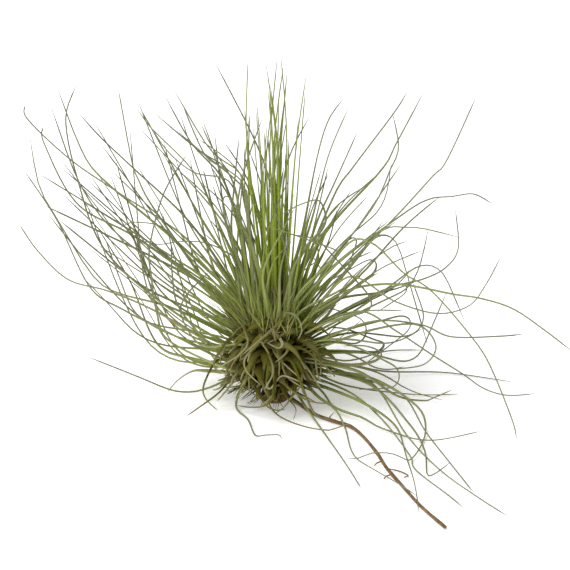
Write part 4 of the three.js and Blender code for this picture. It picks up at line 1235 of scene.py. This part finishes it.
class AIRPLANT_OT_short_stem(PlantOperator, bpy.types.Operator):
    """Model the short woody stem that the plant stands on"""
    bl_idname = "air_plant.short_stem"
    bl_label = "Short Stem"

    def execute(self, context):
        deselect()
        bpy.ops.mesh.primitive_cylinder_add(
            vertices=STEM.sides, radius=STEM.foot * MM, depth=STEM.height * MM,
            end_fill_type="NGON", location=(0, 0, STEM.height / 2 * MM))
        stem = context.object
        bpy.ops.object.transform_apply(location=True, rotation=True, scale=True)
        bpy.ops.object.mode_set(mode="EDIT")
        heights = [STEM.height * k / STEM.levels * MM for k in range(STEM.levels + 1)]
        for height in heights[1:-1]:
            bpy.ops.mesh.select_all(action="SELECT")
            bpy.ops.mesh.bisect(plane_co=(0, 0, height), plane_no=(0, 0, 1))
        for k, height in enumerate(heights):
            waist = mix(1.0, STEM.neck / STEM.foot, k / STEM.levels)
            girth = waist * (1.0 if k % 2 else STEM.groove)
            select_where(stem, lambda co: abs(co.z - height) < STEM.level_reach * MM)
            bpy.ops.transform.resize(value=(girth, girth, 1), center_override=(0, 0, height))
        select_where(stem, lambda co: co.z > STEM.even_below * MM)
        bpy.ops.transform.vertex_random(
            offset=STEM.unevenness * MM, uniform=1.0, normal=0.0, seed=STEM.seed)
        bpy.ops.mesh.select_all(action="SELECT")
        bpy.ops.mesh.normals_make_consistent(inside=False)
        bpy.ops.object.mode_set(mode="OBJECT")
        bpy.ops.object.shade_smooth_by_angle(angle=math.radians(STEM.sharp))
        stem.name = stem.data.name = "stem"
        self.cover(stem, "short_stem", "stem_bark", "bark", STEM.grain)
        return {"FINISHED"}


class AIRPLANT_OT_long_root(PlantOperator, bpy.types.Operator):
    """Model the long wiry root and its fine side roots"""
    bl_idname = "air_plant.long_root"
    bl_label = "Long Root"

    def execute(self, context):
        rings = RINGS.curly
        draw = draws_for(ROOT.seed)
        girths = []
        for k in range(rings + 1):
            girth = mix(*ROOT.girth, k / rings) * draw(*ROOT.uneven) * MM
            girths.append((girth / 2, girth / 2, 0.0))
        fine_girths = [(half * ROOTLET.share, half * ROOTLET.share, 0.0) for half, _, _ in girths]
        root = straight_leaf("straight_root", girths, ROOT.corners)
        rootlet = straight_leaf("straight_rootlet", fine_girths, ROOTLET.corners)
        pieces = []
        for points in (ROOT_WAY, *ROOTLETS):
            straight, sizes = (rootlet, ROOTLET) if pieces else (root, ROOT)
            way = Way(smooth_through([Vector(point) for point in points]))
            look = look_of(ROOT_LOOK, len(pieces))
            pieces.append(lay_along(straight, way, rings, look, sizes.sheath_length))
        for straight in (root, rootlet):
            bpy.data.meshes.remove(straight.data)
        self.cover(join(pieces, "root"), "long_root", "root_bark", "root", ROOT.grain)
        return {"FINISHED"}


class AIRPLANT_OT_bulb(PlantOperator, bpy.types.Operator):
    """Model the bulb's body, whose near-black colour is painted shade, seen only between the leaves
    """
    bl_idname = "air_plant.bulb"
    bl_label = "Bulb"

    def execute(self, context):
        deselect()
        bpy.ops.mesh.primitive_uv_sphere_add(
            segments=BULB.segments, ring_count=BULB.rings, radius=1.0, location=(0, 0, 0))
        bulb = context.object
        bpy.ops.object.mode_set(mode="EDIT")
        bpy.ops.mesh.select_all(action="SELECT")
        wide, high = (BULB.radius - BULB.body[0]) * MM, (BULB.half - BULB.body[1]) * MM
        bpy.ops.transform.resize(value=(wide, wide, high), center_override=(0, 0, 0))
        bpy.ops.transform.translate(value=(0, 0, BULB.middle * MM))
        bpy.ops.transform.vertex_random(
            offset=BULB.unevenness * MM, uniform=1.0, normal=0.0, seed=BULB.seed)
        bpy.ops.object.mode_set(mode="OBJECT")
        bpy.ops.object.shade_smooth()
        bulb.name = bulb.data.name = "bulb_body"
        dark = [part * BULB.cracks for part in self.colours.bulb[:3]] + [1.0]
        material = bark_material("bulb_skin", self.colours.bulb, dark, BULB.grain)
        finish_piece(bulb, "rosette", "grey_leaf", material)
        return {"FINISHED"}


class AIRPLANT_OT_old_leaves(PlantOperator, bpy.types.Operator):
    """Lay the short old leaves round the bulb's foot and the broad leaf bases on its sides"""
    bl_idname = "air_plant.old_leaves"
    bl_label = "Old Leaves"

    def execute(self, context):
        self.lay("old_leaves", [(k, bulb_leaf(TEETH, k)) for k in range(TEETH.count)])
        self.lay("leaf_bases", [(k, bulb_leaf(SCALES, k)) for k in leaf_bases()])
        return {"FINISHED"}


class AIRPLANT_OT_rosette(PlantOperator, bpy.types.Operator):
    """Lay the evenly spread leaves of the rosette"""
    bl_idname = "air_plant.rosette"
    bl_label = "Rosette"

    def execute(self, context):
        spread, front = [], []
        for k in range(ROSETTE_LEAVES):
            if is_left_out(k):
                continue
            path, in_front = rosette_leaf(k)
            group, widths = (front, FRONT_WIDTH) if in_front else (spread, LOW_WIDTH)
            group.append((k, path, width_share(k, widths), path[0].z))
        self.lay("rosette_leaves", spread)
        self.lay("front_leaves", front)
        return {"FINISHED"}


class AIRPLANT_OT_stray_leaves(PlantOperator, bpy.types.Operator):
    """Lay the leaves that go their own way: swept, curled, wrapped, trailing or hooked"""
    bl_idname = "air_plant.stray_leaves"
    bl_label = "Stray Leaves"

    def execute(self, context):
        for name, routes in STRAY_WAYS.items():
            self.lay(name, [(k, stray_leaf(points), 1.0, points[0][2])
                            for k, points in enumerate(routes)])
        return {"FINISHED"}


class AIRPLANT_OT_young_leaves(PlantOperator, bpy.types.Operator):
    """Lay the upright leaves round the heart, the sprouts at their foot and the fine fibres"""
    bl_idname = "air_plant.young_leaves"
    bl_label = "Young Leaves"

    def execute(self, context):
        self.lay("young_leaves", [(k, young_leaf(k)) for k in young_leaves()])
        self.lay("sprouts", [(k, crown_leaf(SPROUTS, k)) for k in range(SPROUTS.count)])
        self.lay("crown_fibres", [(k, crown_leaf(FIBRES, k)) for k in range(FIBRES.count)])
        return {"FINISHED"}


class AIRPLANT_OT_heart(PlantOperator, bpy.types.Operator):
    """Lay the young green leaves of the heart"""
    bl_idname = "air_plant.heart"
    bl_label = "Heart"

    def execute(self, context):
        self.lay("heart_leaves", [(k, heart_leaf(k)) for k in range(HEART_LEAVES)])
        return {"FINISHED"}


# The picture's middle, in millimetres: right of the plant's axis, and up across the line of sight.
PICTURE_MIDDLE = Sizes(right=2.7, up=30.5)
# The lights' places and sizes and the point they are aimed at, in metres.
LIT_POINT = (0, 0, 0.03)
KEY_LIGHT = Sizes(place=(-1.1, -0.6, 1.9), size=1.8)
FILL_LIGHT = Sizes(place=(1.8, -1.0, 1.0), size=1.4)


def aim(thing, target):
    thing.rotation_euler = (target - thing.location).to_track_quat("-Z", "Y").to_euler()


def area_light(name, light, power):
    data = bpy.data.lights.new(name, "AREA")
    data.shape = "DISK"
    data.size = light.size
    data.energy = power
    lamp = bpy.data.objects.new(name, data)
    bpy.context.collection.objects.link(lamp)
    lamp.location = light.place
    aim(lamp, Vector(LIT_POINT))


class AIRPLANT_OT_stage(PlantOperator, bpy.types.Operator):
    """Set up the pale floor, the soft lights and the camera"""
    bl_idname = "air_plant.stage"
    bl_label = "Stage"

    def execute(self, context):
        scene = context.scene
        stage = scene.air_plant_stage
        deselect()
        bpy.ops.mesh.primitive_circle_add(
            vertices=FLOOR.sides, radius=FLOOR.radius, fill_type="NGON")
        floor = context.object
        floor.name = floor.data.name = "floor"
        floor.data.materials.append(floor_material(stage.floor))
        floor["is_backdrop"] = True
        world = bpy.data.worlds.new("white_studio")
        world.use_nodes = True
        sky = world.node_tree.nodes["Background"].inputs
        sky["Color"].default_value = (1, 1, 1, 1)
        sky["Strength"].default_value = stage.sky
        scene.world = world
        area_light("key_light", KEY_LIGHT, stage.key_power)
        area_light("fill_light", FILL_LIGHT, stage.fill_power)
        tilt = stage.elevation
        toward = Vector((0, -math.cos(tilt), math.sin(tilt)))
        upward = Vector((0, math.sin(tilt), math.cos(tilt)))
        target = Vector((PICTURE_MIDDLE.right * MM, 0, 0)) + upward * (PICTURE_MIDDLE.up * MM)
        data = bpy.data.cameras.new("camera")
        data.lens = stage.lens
        data.clip_start = 0.01
        camera = bpy.data.objects.new("camera", data)
        context.collection.objects.link(camera)
        camera.location = target + toward * stage.distance
        aim(camera, target)
        scene.camera = camera
        scene.view_settings.view_transform = "Standard"
        return {"FINISHED"}


STEPS = (
    AIRPLANT_OT_stage, AIRPLANT_OT_short_stem, AIRPLANT_OT_long_root, AIRPLANT_OT_bulb,
    AIRPLANT_OT_old_leaves, AIRPLANT_OT_rosette, AIRPLANT_OT_stray_leaves,
    AIRPLANT_OT_young_leaves, AIRPLANT_OT_heart)


class AIRPLANT_PT_sidebar(bpy.types.Panel):
    """The air plant's pieces and what can be changed about them"""
    bl_idname = "AIRPLANT_PT_sidebar"
    bl_label = "Air Plant"
    bl_space_type = "VIEW_3D"
    bl_region_type = "UI"
    bl_category = "Air Plant"

    def draw(self, context):
        layout = self.layout
        for step in STEPS:
            layout.operator(step.bl_idname)
        for name in ("air_plant_leaves", "air_plant_colours", "air_plant_stage"):
            group = getattr(context.scene, name)
            box = layout.box()
            for key in group.__annotations__:
                box.prop(group, key)


GROUPS = {
    "air_plant_leaves": AIRPLANT_PG_leaves,
    "air_plant_colours": AIRPLANT_PG_colours,
    "air_plant_stage": AIRPLANT_PG_stage,
}


def register():
    for cls in (*GROUPS.values(), *STEPS, AIRPLANT_PT_sidebar):
        bpy.utils.register_class(cls)
    for name, group in GROUPS.items():
        setattr(bpy.types.Scene, name, bpy.props.PointerProperty(type=group))


def unregister():
    for name in GROUPS:
        delattr(bpy.types.Scene, name)
    for cls in (AIRPLANT_PT_sidebar, *reversed(STEPS), *GROUPS.values()):
        bpy.utils.unregister_class(cls)


def main():
    register()
    bpy.ops.air_plant.stage()
    bpy.ops.air_plant.short_stem()
    bpy.ops.air_plant.long_root()
    bpy.ops.air_plant.bulb()
    bpy.ops.air_plant.old_leaves()
    bpy.ops.air_plant.rosette()
    bpy.ops.air_plant.stray_leaves()
    bpy.ops.air_plant.young_leaves()
    bpy.ops.air_plant.heart()
    boxes = {"cad": CAD_BOX, "visual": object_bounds()}
    sizes = {name: [list(corner) for corner in box] for name, box in boxes.items()}


if __name__ == "__main__":
    main()
